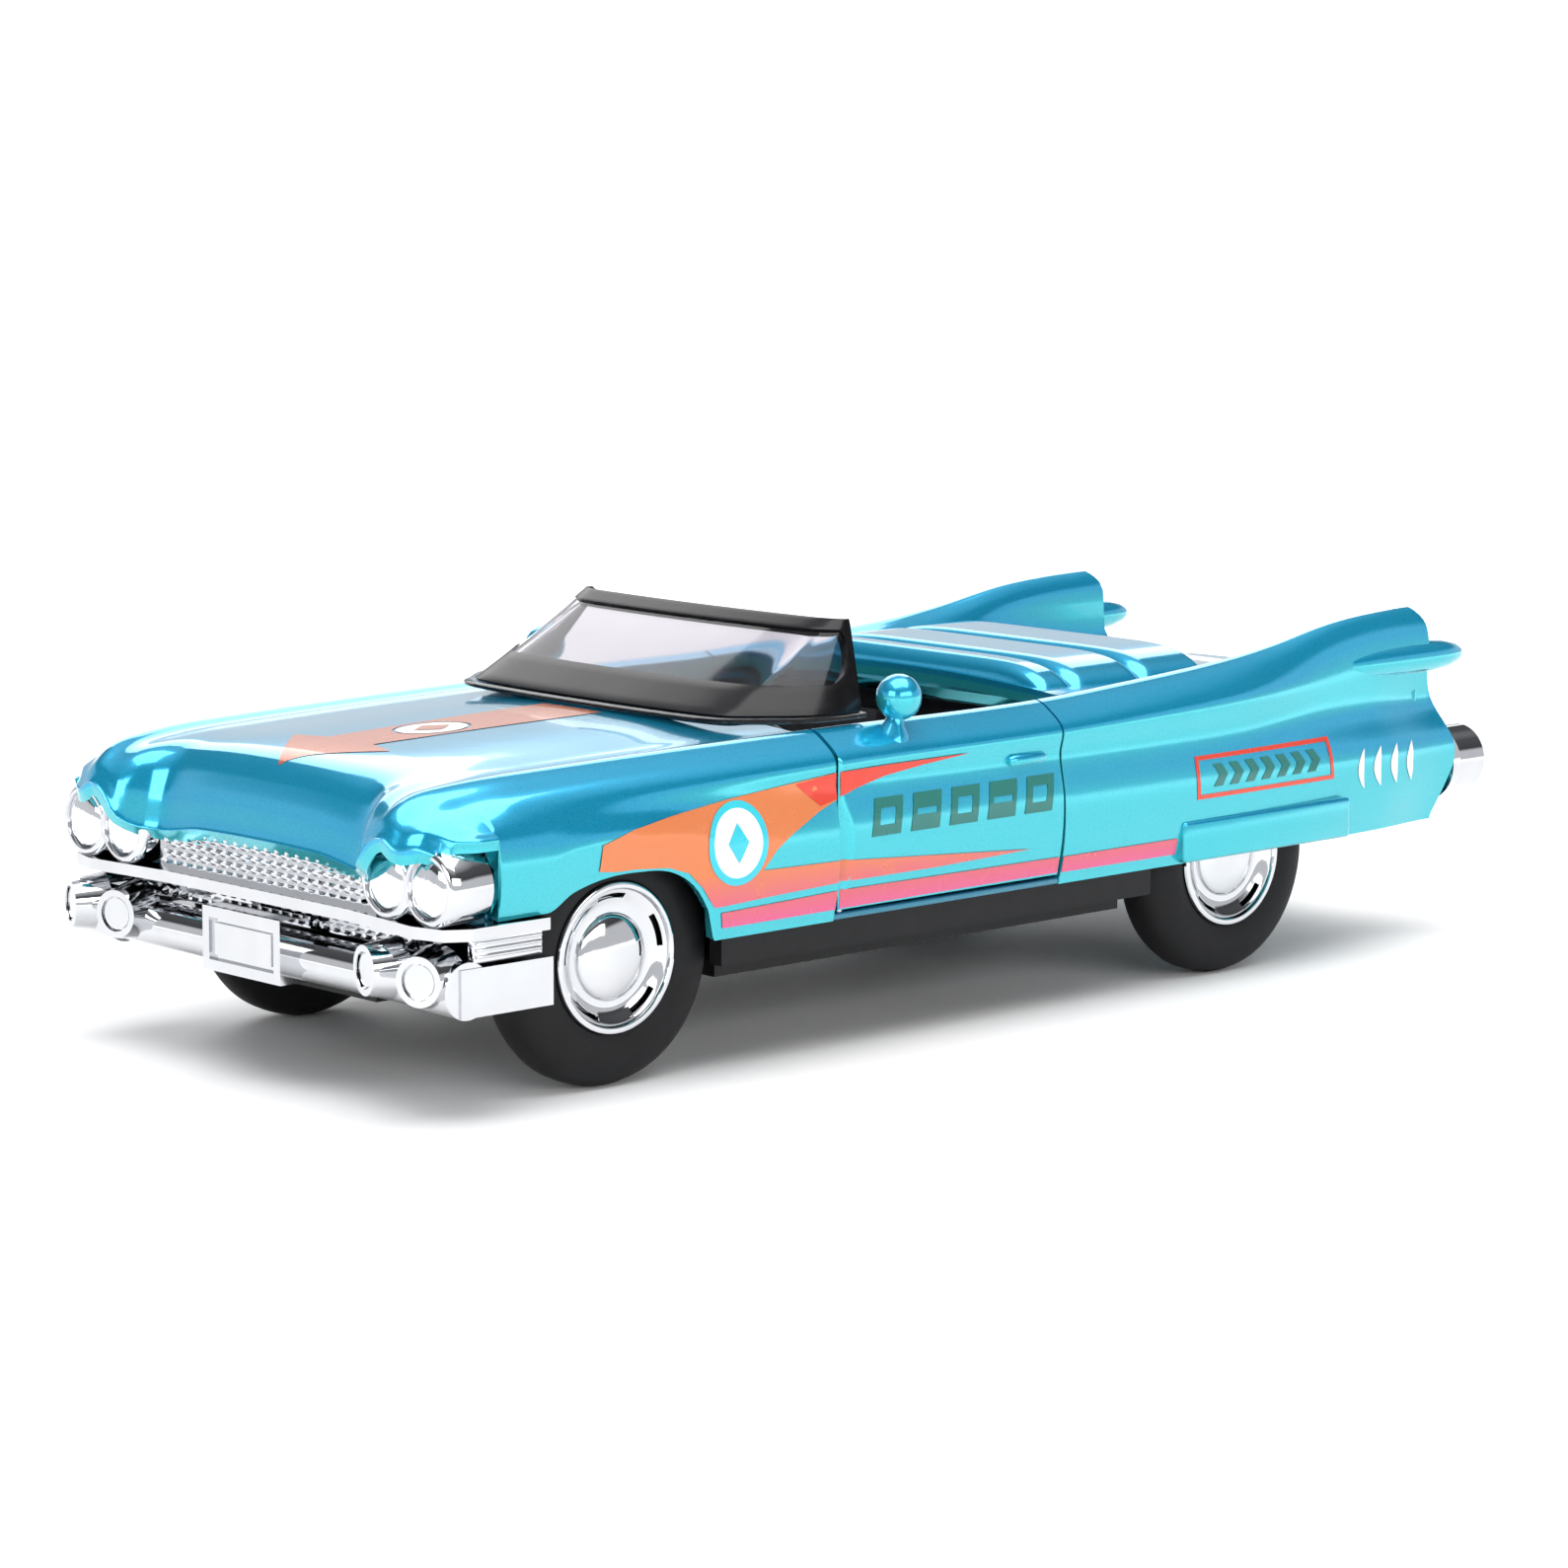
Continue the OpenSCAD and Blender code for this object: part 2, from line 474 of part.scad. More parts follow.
// ---- wheels ----
module tyre(x, s) color([0.03, 0.03, 0.032]) translate([x, s * (track_half - tyre_w), tyre_r]) rotate([-90 * s, 0, 0])
  rotate_extrude($fn = 96) polygon([[rim_r - 0.9, 0.6], [rim_r + 0.6, 0], [tyre_r - 1.2, 0.3], [tyre_r - 0.3, 0.9],
    [tyre_r, 1.9], [tyre_r, tyre_w - 1.9], [tyre_r - 0.3, tyre_w - 0.9], [tyre_r - 1.2, tyre_w - 0.3],
    [rim_r + 0.6, tyre_w], [rim_r + seat_gap, tyre_w - 0.5], [rim_r + seat_gap, tyre_w - 1.2], [rim_r - 0.9, tyre_w - 1.6]]);
module wheel(x, s) color([0.85, 0.86, 0.88]) translate([x, s * (track_half - tyre_w), tyre_r]) rotate([-90 * s, 0, 0]) {
  difference() {
    rotate_extrude($fn = 96) polygon([[axle_r, 1.2], [2.6, 1.2], [2.6, 3.2], [rim_r - 0.95, 3.2], [rim_r - 0.95, tyre_w - 1.6],
      [rim_r, tyre_w - 1.15], [rim_r, tyre_w - 0.2], [rim_r - 0.3, tyre_w + 0.05], [rim_r - 0.9, tyre_w + 0.05],
      [rim_r - 1.4, tyre_w - 0.5], [4.1, tyre_w - 1.2], [3.7, tyre_w - 0.85], [axle_r, tyre_w - 0.85]]);
    for (a = [0 : 5]) rotate([0, 0, a * 60]) for (b = [-9, 0, 9]) rotate([0, 0, b])
      translate([5.1, 0, tyre_w - 1.6]) cylinder(r = 0.42, h = 3, $fn = 24);
  }
  // domed cap
  translate([0, 0, tyre_w - 7]) intersection() {
    sphere(r = 7.1);
    translate([0, 0, 6.1]) cylinder(r = 3.45, h = 5);
  }
}
module tyre_front_left() tyre(front_x, 1);
module tyre_front_right() tyre(front_x, -1);
module tyre_rear_left() tyre(rear_x, 1);
module tyre_rear_right() tyre(rear_x, -1);
module wheel_front_left() wheel(front_x, 1);
module wheel_front_right() wheel(front_x, -1);
module wheel_rear_left() wheel(rear_x, 1);
module wheel_rear_right() wheel(rear_x, -1);
module axle(x) color([0.6, 0.6, 0.62]) translate([x, -track_half + 0.5, tyre_r]) rotate([-90, 0, 0])
  cylinder(r = axle_r - eps, h = 2 * track_half - 1);
module front_axle() axle(front_x);
module rear_axle() axle(rear_x);

// ---- pull-back motor ----
gear_y = -4.6;      // plane of the first gear pair
train_y = -2.1;     // plane of the barrel gears
gear_w = 1.8;
drum_y = train_y + gear_w;          // the spring's drum stands on the barrel gear
housing_y = 6.2;    // half width of the motor box
wall = 1;

// one tooth: height over the pitch circle in modules, half width in pitches
tooth = [[-1.15, -0.34], [0, -0.22], [0.85, -0.1], [0.85, 0.1], [0, 0.22], [-1.15, 0.34]];
// spur gear outline with n teeth, one centred on angle a
module gear_outline(n, a) {
  r = gear_m * n / 2;
  step = 360 / n;
  polygon([for (i = [0 : n - 1]) for (q = tooth)
      let (rr = r + q[0] * gear_m, c = a + (i + q[1]) * step) [rr * cos(c), rr * sin(c)]]);
}
module gear(x, y, n, a, w) {
  translate([x, y + w, motor_z]) rotate([90, 0, 0]) linear_extrude(w) gear_outline(n, a);
}
module bore_y(x, r, y0, y1) {
  translate([x, y0, motor_z]) rotate([-90, 0, 0]) cylinder(r = r, h = y1 - y0);
}
module axle_pinion() color([0.8, 0.8, 0.75]) difference() {
  gear(rear_x, gear_y, pinion_teeth, 0, gear_w);
  bore_y(rear_x, axle_r, gear_y - 1, gear_y + gear_w + 1);
}
module compound_gear() color([0.85, 0.85, 0.8]) difference() {
  union() {
    gear(compound_x, gear_y, compound_big, 180 + 180 / compound_big, gear_w);
    bore_y(compound_x, 1.5, gear_y + gear_w - eps, train_y + eps);
    gear(compound_x, train_y, compound_small, 0, gear_w);
  }
  bore_y(compound_x, 0.6 + run_fit, gear_y - 1, train_y + gear_w + 1);
}
module compound_pin() color([0.6, 0.6, 0.62])
  bore_y(compound_x, 0.6, -housing_y + 0.1, housing_y - 0.1);
barrel_r = gear_m * barrel_teeth / 2 - 0.6;
module spring_barrel() color([0.85, 0.85, 0.8]) difference() {
  union() {
    gear(barrel_x, train_y, barrel_teeth, 180 + 180 / barrel_teeth, gear_w);
    bore_y(barrel_x, barrel_r, drum_y - 0.1, drum_y + 4.4);
  }
  bore_y(barrel_x, barrel_r - 0.6, drum_y + 0.3, drum_y + 5);
  bore_y(barrel_x, 1.1 + run_fit, train_y - 1, drum_y + 1);
}
// coiled strip inside the barrel
module mainspring() color([0.35, 0.37, 0.42])
  translate([barrel_x, drum_y + 3.8, motor_z]) rotate([90, 0, 0]) linear_extrude(3.2)
    for (r = [barrel_r - 1 : -0.7 : 1.9]) difference() {
      circle(r = r + 0.12);
      circle(r = r - 0.12);
    }
module barrel_arbor() color([0.6, 0.6, 0.62])
  bore_y(barrel_x, 1.1, -housing_y + 0.1, housing_y - 0.1);

// the motor box clears the barrel's teeth above and below
box_half = gear_m * (barrel_teeth / 2 + 0.85) + 0.26 + wall;
box_low = motor_z - box_half;
box_top = motor_z + box_half;
ear_x = [box_x0 + 1.7, box_x1 - 1.4];
module motor_housing() color([0.1, 0.1, 0.11]) difference() {
  box([box_x0, -housing_y, box_low], [box_x1, housing_y - wall, box_top]);
  box([box_x0 + wall, -housing_y + wall, box_low + wall], [box_x1 - wall, housing_y, box_top - wall]);
  bore_y(rear_x, axle_r + run_fit, -housing_y - 1, housing_y);
  bore_y(compound_x, 0.6, -housing_y - 1, housing_y);
  bore_y(barrel_x, 1.1, -housing_y - 1, housing_y);
}
module motor_cover() color([0.12, 0.12, 0.13]) difference() {
  box([box_x0, housing_y - wall + seat_gap, box_low], [box_x1, housing_y, box_top]);
  bore_y(rear_x, axle_r + run_fit, 0, housing_y + 1);
  bore_y(compound_x, 0.6, 0, housing_y + 1);
  bore_y(barrel_x, 1.1, 0, housing_y + 1);
  for (x = ear_x) translate([0, 0, 5]) bore_y(x, 0.45, 0, housing_y + 1);
}
module motor_screws() color([0.6, 0.6, 0.62]) for (x = ear_x) translate([0, 0, 5]) {
  bore_y(x, 0.4, housing_y - wall, housing_y + eps);
  bore_y(x, 0.8, housing_y, housing_y + 0.5);
}

body_shell();
door_left();
door_right();
hinge_pin_left();
hinge_pin_right();
windscreen_glass();
windscreen_frame();
interior_tub();
front_seat();
rear_seat();
dashboard();
steering_wheel();
headlamp_pod_left();
headlamp_pod_right();
grille();
front_bumper();
rear_bumper();
chassis_base();
base_screws();
transit_post();
front_axle();
tyre_front_left();
tyre_front_right();
wheel_front_left();
wheel_front_right();
rear_axle();
tyre_rear_left();
tyre_rear_right();
wheel_rear_left();
wheel_rear_right();
axle_pinion();
compound_gear();
compound_pin();
spring_barrel();
mainspring();
barrel_arbor();
motor_housing();
motor_cover();
motor_screws();
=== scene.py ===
import json
import math
import bmesh
import bpy
from mathutils import Matrix, Vector


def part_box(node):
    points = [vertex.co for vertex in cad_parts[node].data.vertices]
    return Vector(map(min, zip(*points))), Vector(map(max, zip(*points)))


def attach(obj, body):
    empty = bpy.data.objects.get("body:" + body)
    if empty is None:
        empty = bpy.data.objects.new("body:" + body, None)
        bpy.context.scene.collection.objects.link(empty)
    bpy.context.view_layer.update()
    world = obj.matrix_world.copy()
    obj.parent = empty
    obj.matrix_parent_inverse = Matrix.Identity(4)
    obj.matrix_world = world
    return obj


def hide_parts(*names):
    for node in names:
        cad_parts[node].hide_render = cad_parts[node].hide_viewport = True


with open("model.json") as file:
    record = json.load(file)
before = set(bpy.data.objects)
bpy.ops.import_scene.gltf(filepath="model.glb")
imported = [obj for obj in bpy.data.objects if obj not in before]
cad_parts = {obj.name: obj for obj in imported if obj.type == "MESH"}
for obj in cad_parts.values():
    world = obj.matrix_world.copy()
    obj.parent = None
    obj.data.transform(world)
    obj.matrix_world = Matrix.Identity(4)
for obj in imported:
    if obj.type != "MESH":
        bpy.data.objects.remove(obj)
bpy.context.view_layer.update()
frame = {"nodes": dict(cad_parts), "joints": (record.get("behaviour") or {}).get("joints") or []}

# Places on the car in millimetres: the two axles and the doors' ends are read from the packed
# part, and the nose, tail, belt line and ground clearance of the body are set out from them.
MM = 0.001
spin = {j["name"]: Vector(j["pos_m"]) / MM for j in frame["joints"]}
front_x = spin["front_wheel_spin"].x
rear_x = spin["rear_wheel_spin"].x
axle_z = spin["front_wheel_spin"].z
door_low, door_high = [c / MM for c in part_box("door_left")]
seam_x, door_rear, door_z = door_high.x, door_low.x, door_low.z
belt = 31
half_width = 28.5
nose = front_x + 25
tail = rear_x - 30.5
body_low = 13


def clamp(value):
    return min(1.0, max(0.0, value))


def build(name, verts, faces):
    """A new mesh object from points in millimetres, with loose points dropped."""
    used = sorted({i for f in faces for i in f})
    place = {old: new for new, old in enumerate(used)}
    mesh = bpy.data.meshes.new(name)
    mesh.from_pydata([[c * MM for c in verts[i]] for i in used], [],
                     [[place[i] for i in f] for f in faces])
    mesh.validate()
    piece = bpy.data.objects.new(name, mesh)
    bpy.context.scene.collection.objects.link(piece)
    return piece


def apply_modifiers(piece):
    bpy.ops.object.select_all(action="DESELECT")
    bpy.context.view_layer.objects.active = piece
    piece.select_set(True)
    for modifier in list(piece.modifiers):
        bpy.ops.object.modifier_apply(modifier=modifier.name)


def thicken(piece, thickness):
    """Gives a sheet a wall of that many millimetres behind its outer face."""
    solid = piece.modifiers.new("wall", "SOLIDIFY")
    solid.thickness = thickness * MM
    solid.offset = -1
    apply_modifiers(piece)


def soften(piece, width, angle=40):
    """Small rounded edges, then smooth shading up to that angle."""
    bevel = piece.modifiers.new("rounding", "BEVEL")
    bevel.width = width * MM
    bevel.segments = 3
    bevel.limit_method = "ANGLE"
    bevel.angle_limit = math.radians(32)
    apply_modifiers(piece)
    smooth(piece, angle)


def smooth(piece, angle=35):
    bpy.ops.object.select_all(action="DESELECT")
    bpy.context.view_layer.objects.active = piece
    piece.select_set(True)
    bpy.ops.object.shade_smooth_by_angle(angle=math.radians(angle))


def finish(piece, material, body):
    """The piece's only material and the body that carries it."""
    piece.data.materials.clear()
    piece.data.materials.append(material)
    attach(piece, body)
    return piece


def surface(name, colour, rough, metallic=0.0, grain=600.0, tint=0.12, wear=0.1, bump=0.05,
            bump_grain=2500.0, coat=0.0):
    """A procedural finish: mottled colour, uneven roughness and a fine bump."""
    material = bpy.data.materials.new(name)
    material.use_nodes = True
    nodes, links = material.node_tree.nodes, material.node_tree.links
    shader = nodes["Principled BSDF"]
    shader.inputs["Metallic"].default_value = metallic
    shader.inputs["Coat Weight"].default_value = coat
    shader.inputs["Coat Roughness"].default_value = 0.06
    where = nodes.new("ShaderNodeTexCoord")
    mottle = nodes.new("ShaderNodeTexNoise")
    mottle.inputs["Scale"].default_value = grain
    mottle.inputs["Detail"].default_value = 5
    links.new(where.outputs["Object"], mottle.inputs["Vector"])
    hue = nodes.new("ShaderNodeValToRGB")
    hue.color_ramp.elements[0].position = 0.35
    hue.color_ramp.elements[1].position = 0.7
    hue.color_ramp.elements[0].color = [c * (1 - tint) for c in colour] + [1]
    hue.color_ramp.elements[1].color = [min(1, c * (1 + tint)) for c in colour] + [1]
    links.new(mottle.outputs["Fac"], hue.inputs["Fac"])
    links.new(hue.outputs["Color"], shader.inputs["Base Color"])
    gloss = nodes.new("ShaderNodeMapRange")
    gloss.inputs["To Min"].default_value = rough * (1 - wear)
    gloss.inputs["To Max"].default_value = rough * (1 + wear)
    links.new(mottle.outputs["Fac"], gloss.inputs["Value"])
    links.new(gloss.outputs["Result"], shader.inputs["Roughness"])
    fine = nodes.new("ShaderNodeTexNoise")
    fine.inputs["Scale"].default_value = bump_grain
    fine.inputs["Detail"].default_value = 3
    links.new(where.outputs["Object"], fine.inputs["Vector"])
    relief = nodes.new("ShaderNodeBump")
    relief.inputs["Strength"].default_value = bump
    relief.inputs["Distance"].default_value = 0.05 * MM
    links.new(fine.outputs["Fac"], relief.inputs["Height"])
    links.new(relief.outputs["Normal"], shader.inputs["Normal"])
    return material



# ---- Body shell ----
# A zinc casting, chrome plated and lacquered in clear turquoise, so that it mirrors its
# surroundings. It holds every other piece and is screwed to the base from below.
B, W, F, R = belt, half_width, nose, tail
side_y = [(F, W - 0.7), (F - 4, W + 0.3), (front_x, W + 0.2), (0, W), (rear_x, W - 0.2),
          (R + 10, W - 1), (R, W - 2.2)]
ridge_z = [(F, B - 5.4), (F - 1, B - 3.6), (F - 3, B - 2.1), (F - 6, B - 1.4), (F - 14, B - 0.8),
           (24, B - 0.1), (-4, B), (-20, B + 0.8), (-33, B + 1.7), (-41, B + 2.6), (-50, B + 4.1),
           (-57, B + 4.7), (R, B + 4.9)]
ridge_y = [(F, 22.2), (F - 12, 23.2), (24, W - 4.2), (-4, W - 4), (-33, W - 4.1),
           (-57, W - 4.6), (R, W - 4.8)]
deck_z = [(F, B - 8.5), (F - 0.8, B - 5.4), (F - 2, B - 2.9), (F - 4, B - 1.4), (F - 8, B - 0.7),
          (F - 20, B - 0.2), (32, B + 0.3), (0, B + 0.6), (-14, B + 0.8), (-33, B - 0.2),
          (-50, B - 1.4), (R, B - 3.2)]
fin = [(F, 0), (-20, 0), (-33, 0.15), (-46, 0.8), (-57, 1), (R, 1)]
arch = [(F, 25), (F - 6.8, 25), (F - 7.2, 18), (front_x + 11, 18.1), (front_x + 8, 19.6),
        (front_x + 4, 20.5), (front_x, 20.6), (front_x - 3.6, 20.2), (front_x - 6.6, 18.6),
        (front_x - 8.6, 16), (front_x - 9.6, body_low), (R, body_low)]


def interval(table, x):
    i = 0
    while i < len(table) - 2 and x < table[i + 1][0]:
        i += 1
    return i


def run(table, x):
    """Smooth value at station x of a table ordered from front to rear."""
    i = interval(table, x)
    (x0, a), (x1, b) = table[i], table[i + 1]

    def slope(k):
        if k in (0, len(table) - 1):
            return 0.0
        return (table[k + 1][1] - table[k - 1][1]) / (table[k + 1][0] - table[k - 1][0])
    h = x1 - x0
    u = clamp((x - x0) / h)
    m, n = slope(i) * h, slope(i + 1) * h
    return a + u * (m + u * (3 * (b - a) - 2 * m - n + u * (2 * (a - b) + m + n)))


def ramp(table, x):
    i = interval(table, x)
    (x0, a), (x1, b) = table[i], table[i + 1]
    return a + clamp((x - x0) / (x1 - x0)) * (b - a)


def lower_edge(x):
    """The front wheel arch is a smooth curve, and the rest of the lower edge is straight."""
    if front_x - 9.6 < x < front_x + 11:
        return max(body_low, run(arch[3:11], x))
    return ramp(arch, x)


STEPS = 6


def section(x, low):
    """Points (y, z) of the left half of the body, from its lower edge over the ridge to the
    middle, drawn as a smooth curve through eleven control points."""
    s, r, z, d, k = (run(t, x) for t in (side_y, ridge_y, ridge_z, deck_z, fin))
    top = min(26, z - 1.2)
    low = min(low, top - 1.5)
    c = [(s - 0.8 * (top - low) / 12, low), (s - 0.1, low + 0.32 * (top - low)),
         (s, low + 0.66 * (top - low)), (s - 0.7 - 0.9 * k, top),
         (r + 3.6 - 1.7 * k, (top + z - 1) / 2 + 0.4), (r + 1.8 - 0.7 * k, z - 0.9 - 0.4 * k), (r, z),
         (r - 1.6 + 0.4 * k, z - 0.4 - 0.9 * k), (r - 5.4 + 2.6 * k, d - 0.7), (9, d - 0.15),
         (0, d)]
    c = [Vector(p) for p in c]
    ends = [2 * c[0] - c[1]] + c + [Vector((-c[-2].x, c[-2].y))]
    curve = []
    for i in range(1, len(ends) - 2):
        p0, p1, p2, p3 = ends[i - 1:i + 3]
        t0, t1, t2, t3 = 0, 0, 0, 0
        t1 = (p1 - p0).length ** 0.5
        t2 = t1 + (p2 - p1).length ** 0.5
        t3 = t2 + (p3 - p2).length ** 0.5
        for step in range(STEPS):
            t = t1 + (t2 - t1) * step / STEPS
            a1 = (p0 * (t1 - t) + p1 * (t - t0)) / (t1 - t0)
            a2 = (p1 * (t2 - t) + p2 * (t - t1)) / (t2 - t1)
            a3 = (p2 * (t3 - t) + p3 * (t - t2)) / (t3 - t2)
            b1 = (a1 * (t2 - t) + a2 * (t - t0)) / (t2 - t0)
            b2 = (a2 * (t3 - t) + a3 * (t - t1)) / (t3 - t1)
            curve.append((b1 * (t2 - t) + b2 * (t - t1)) / (t2 - t1))
    curve.append(c[-1])
    return curve


def shifted(x, y, z):
    """The bonnet's lip stands back between the brows, the brows round off at their outer
    corners, the tail bulges at mid height and the fins end in a rounded corner."""
    x = x - 3 * clamp((x - 62) / 11) * clamp((18.5 - abs(y)) / 3) \
        - 3.2 * clamp((x - 64) / 10) * clamp((abs(y) - 23) / 5) ** 2
    if x < -52:
        x -= 3.6 * clamp((-52 - x) / 13) * clamp((29 - z) / 8) * (max(0.2,
                (z - 12) / 7) if z < 19 else 1)
    return x + 1.8 * clamp((R + 5 - x) / 5) * clamp((z - B - 2.6) / 2.4) ** 2


def rolled(x, y):
    """The front edge of a door is rolled in round its pin, so that it swings clear of the wing."""
    pin, reach, swing = spin["left_door_hinge"], 1.12, math.radians(60)
    ahead = x - pin.x
    room = (reach - ahead * math.cos(swing)) / math.sin(swing)
    if ahead > reach * math.cos(swing):
        room = (reach ** 2 - ahead ** 2) ** 0.5
    return min(y, pin.y + room)


def skin(name, stations, low_at, keep, thickness, sides=(1, -1), edge=lambda x, y: y):
    """A wall through cross sections, left open where keep(station, column) is false."""
    verts, faces = [], []
    for side in sides:
        start = len(verts)
        rows = [section(x, low_at(x)) for x in stations]
        n = len(rows[0])
        for x, row in zip(stations, rows):
            verts += [(shifted(x, p.x, p.y), side * edge(x, p.x), p.y) for p in row]
        for i in range(len(stations) - 1):
            for j in range(n - 1):
                if not keep(i, j):
                    continue
                a = start + i * n + j
                quad = [a, a + n, a + n + 1, a + 1]
                faces.append(quad if side > 0 else quad[::-1])
    piece = build(name, verts, faces)
    cells = bmesh.new()
    cells.from_mesh(piece.data)
    bmesh.ops.remove_doubles(cells, verts=cells.verts, dist=0.004 * MM)
    cells.to_mesh(piece.data)
    cells.free()
    thicken(piece, thickness)
    smooth(piece, 42)
    return piece


def store_facing_for_lacquer_light(piece):
    """How far each point of the surface looks up, kept in the mesh for the lacquer's painted light:
    sides painted paler and greener, upward faces deeper blue.
    """
    facing_painted_light = piece.data.attributes.new("facing_painted_light", "FLOAT", "POINT")
    facing_painted_light.data.foreach_set("value", [v.normal.z for v in piece.data.vertices])


def lacquer(name, deep, pale, rough):
    """Clear turquoise over bright plating, with light painted in by facing: bluer and darker where it
    looks up, paler and greener on the sides.
    """
    material = bpy.data.materials.new(name)
    material.use_nodes = True
    nodes, links = material.node_tree.nodes, material.node_tree.links
    shader = nodes["Principled BSDF"]
    shader.inputs["Metallic"].default_value = 0.6
    shader.inputs["Coat Weight"].default_value = 0.8
    shader.inputs["Coat Roughness"].default_value = 0.03
    where = nodes.new("ShaderNodeTexCoord")
    # Which way the surface faces sets the colour: painted light, paler and greener on the sides, deeper
    # blue facing up.
    facing_painted_light = nodes.new("ShaderNodeAttribute")
    facing_painted_light.attribute_name = "facing_painted_light"
    drift = nodes.new("ShaderNodeTexNoise")
    drift.inputs["Scale"].default_value = 45
    drift.inputs["Detail"].default_value = 3
    links.new(where.outputs["Object"], drift.inputs["Vector"])
    both = nodes.new("ShaderNodeMath")
    both.operation = "MULTIPLY_ADD"
    both.inputs[1].default_value = 0.1
    links.new(drift.outputs["Fac"], both.inputs[0])
    links.new(facing_painted_light.outputs["Fac"], both.inputs[2])
    hue = nodes.new("ShaderNodeValToRGB")
    hue.color_ramp.elements[0].position = 0.12
    hue.color_ramp.elements[0].color = pale + (1,)
    hue.color_ramp.elements[1].position = 0.3
    hue.color_ramp.elements[1].color = deep + (1,)
    links.new(both.outputs["Value"], hue.inputs["Fac"])
    flake = nodes.new("ShaderNodeTexVoronoi")
    flake.inputs["Scale"].default_value = 5200
    links.new(where.outputs["Object"], flake.inputs["Vector"])
    glint = nodes.new("ShaderNodeMapRange")
    glint.inputs["From Max"].default_value = 0.9
    glint.inputs["To Min"].default_value = 0.06
    glint.inputs["To Max"].default_value = 0.0
    links.new(flake.outputs["Distance"], glint.inputs["Value"])
    shine = nodes.new("ShaderNodeMix")
    shine.data_type = "RGBA"
    shine.blend_type = "ADD"
    links.new(glint.outputs["Result"], shine.inputs["Factor"])
    links.new(hue.outputs["Color"], shine.inputs["A"])
    shine.inputs["B"].default_value = (0.5, 0.9, 0.8, 1)
    links.new(shine.outputs["Result"], shader.inputs["Base Color"])
    uneven = nodes.new("ShaderNodeMapRange")
    uneven.inputs["To Min"].default_value = rough * 0.8
    uneven.inputs["To Max"].default_value = rough * 1.3
    links.new(drift.outputs["Fac"], uneven.inputs["Value"])
    links.new(uneven.outputs["Result"], shader.inputs["Roughness"])
    peel = nodes.new("ShaderNodeTexNoise")
    peel.inputs["Scale"].default_value = 380
    peel.inputs["Detail"].default_value = 1
    links.new(where.outputs["Object"], peel.inputs["Vector"])
    relief = nodes.new("ShaderNodeBump")
    relief.inputs["Strength"].default_value = 0.1
    relief.inputs["Distance"].default_value = 0.06 * MM
    links.new(peel.outputs["Fac"], relief.inputs["Height"])
    links.new(relief.outputs["Normal"], shader.inputs["Normal"])
    return material


# Both lacquers carry light painted in by facing: paler and greener on the sides, deeper blue where the
# surface looks up.
candy = lacquer("turquoise_lacquer", (0.0, 0.35, 0.6), (0.02, 0.46, 0.54), 0.16)
# A darker copy of the lacquer: painted shade on the sills, door posts and the wall behind the lamps.
candy_painted_shade = lacquer("turquoise_lacquer_in_shade", (0.0, 0.12, 0.25), (0.0, 0.16, 0.26), 0.3)
door_column = 7 * STEPS
front_rows = sorted({F - (F - seam_x - 0.5) * (i / 96) ** 1.5 for i in range(97)}
                    | {p[0] for p in arch if p[0] > seam_x + 0.5}, reverse=True)
rear_start = door_rear - 0.3
rear_rows = sorted({rear_start + (R - rear_start) * i / 84 for i in range(85)} | {-11.0}, reverse=True)
body_front = skin("body_front", front_rows, lower_edge, lambda i, j: True, 1.3)
body_rear = skin("body_rear", rear_rows, lambda x: body_low,
                 lambda i, j: rear_rows[i] <= -11 or j < door_column, 1.5)
for piece in (body_front, body_rear):
    store_facing_for_lacquer_light(piece)
    finish(piece, candy, "base")
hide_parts("body_shell")


def plate(name, low, high, width):
    """A rounded block between two corners, in millimetres."""
    bpy.ops.object.select_all(action="DESELECT")
    bpy.ops.mesh.primitive_cube_add(size=1)
    piece = bpy.context.object
    piece.name = name
    for v in piece.data.vertices:
        v.co = Vector([(a + b) / 2 + c * (b - a) for a, b, c in zip(low, high, v.co)]) * MM
    soften(piece, width)
    return piece


# ---- Sill, door posts and wall behind the lamps ----
# Parts of the same casting: sills and posts that show in the shut lines, the skirt panels over the rear
# wheels, and the walls that close the nose and the tail. The sills, the posts and the wall behind the
# lamps are in a darker copy of the lacquer: painted shade.
for side, name in ((1, "left"), (-1, "right")):
    ys = sorted((side * 21.8, side * (W - 0.9)))
    sill = plate("sill_" + name, (door_rear - 2.5, ys[0], body_low),
                 (seam_x + 2.4, ys[1], door_z - 0.3), 0.2)
    ys = sorted((side * 21.7, side * 24.6))
    post = plate("door_post_" + name, (seam_x + 1.2, ys[0], body_low + 0.3),
                 (seam_x + 3.2, ys[1], B - 1.6), 0.3)
    ys = sorted((side * 25.9, side * (W + 0.25)))
    skirt = plate("skirt_panel_" + name, (rear_x - 14.4, ys[0], body_low + 0.2),
                  (rear_x + 11.2, ys[1], 17.4), 0.4)
    for piece, look in ((sill, candy_painted_shade), (post, candy_painted_shade), (skirt, candy)):
        store_facing_for_lacquer_light(piece)
        finish(piece, look, "base")
lamp_wall = plate("lamp_wall", (F - 9, -W + 1.6, 17.2), (F - 8, W - 1.6, 25.2), 0.2)
rear_wall = plate("rear_wall", (R + 1.2, -W + 3.6, 14.2), (R + 2.2, W - 3.6, B - 3.7), 0.2)
for piece, look in ((lamp_wall, candy_painted_shade), (rear_wall, candy)):
    store_facing_for_lacquer_light(piece)
    finish(piece, look, "base")

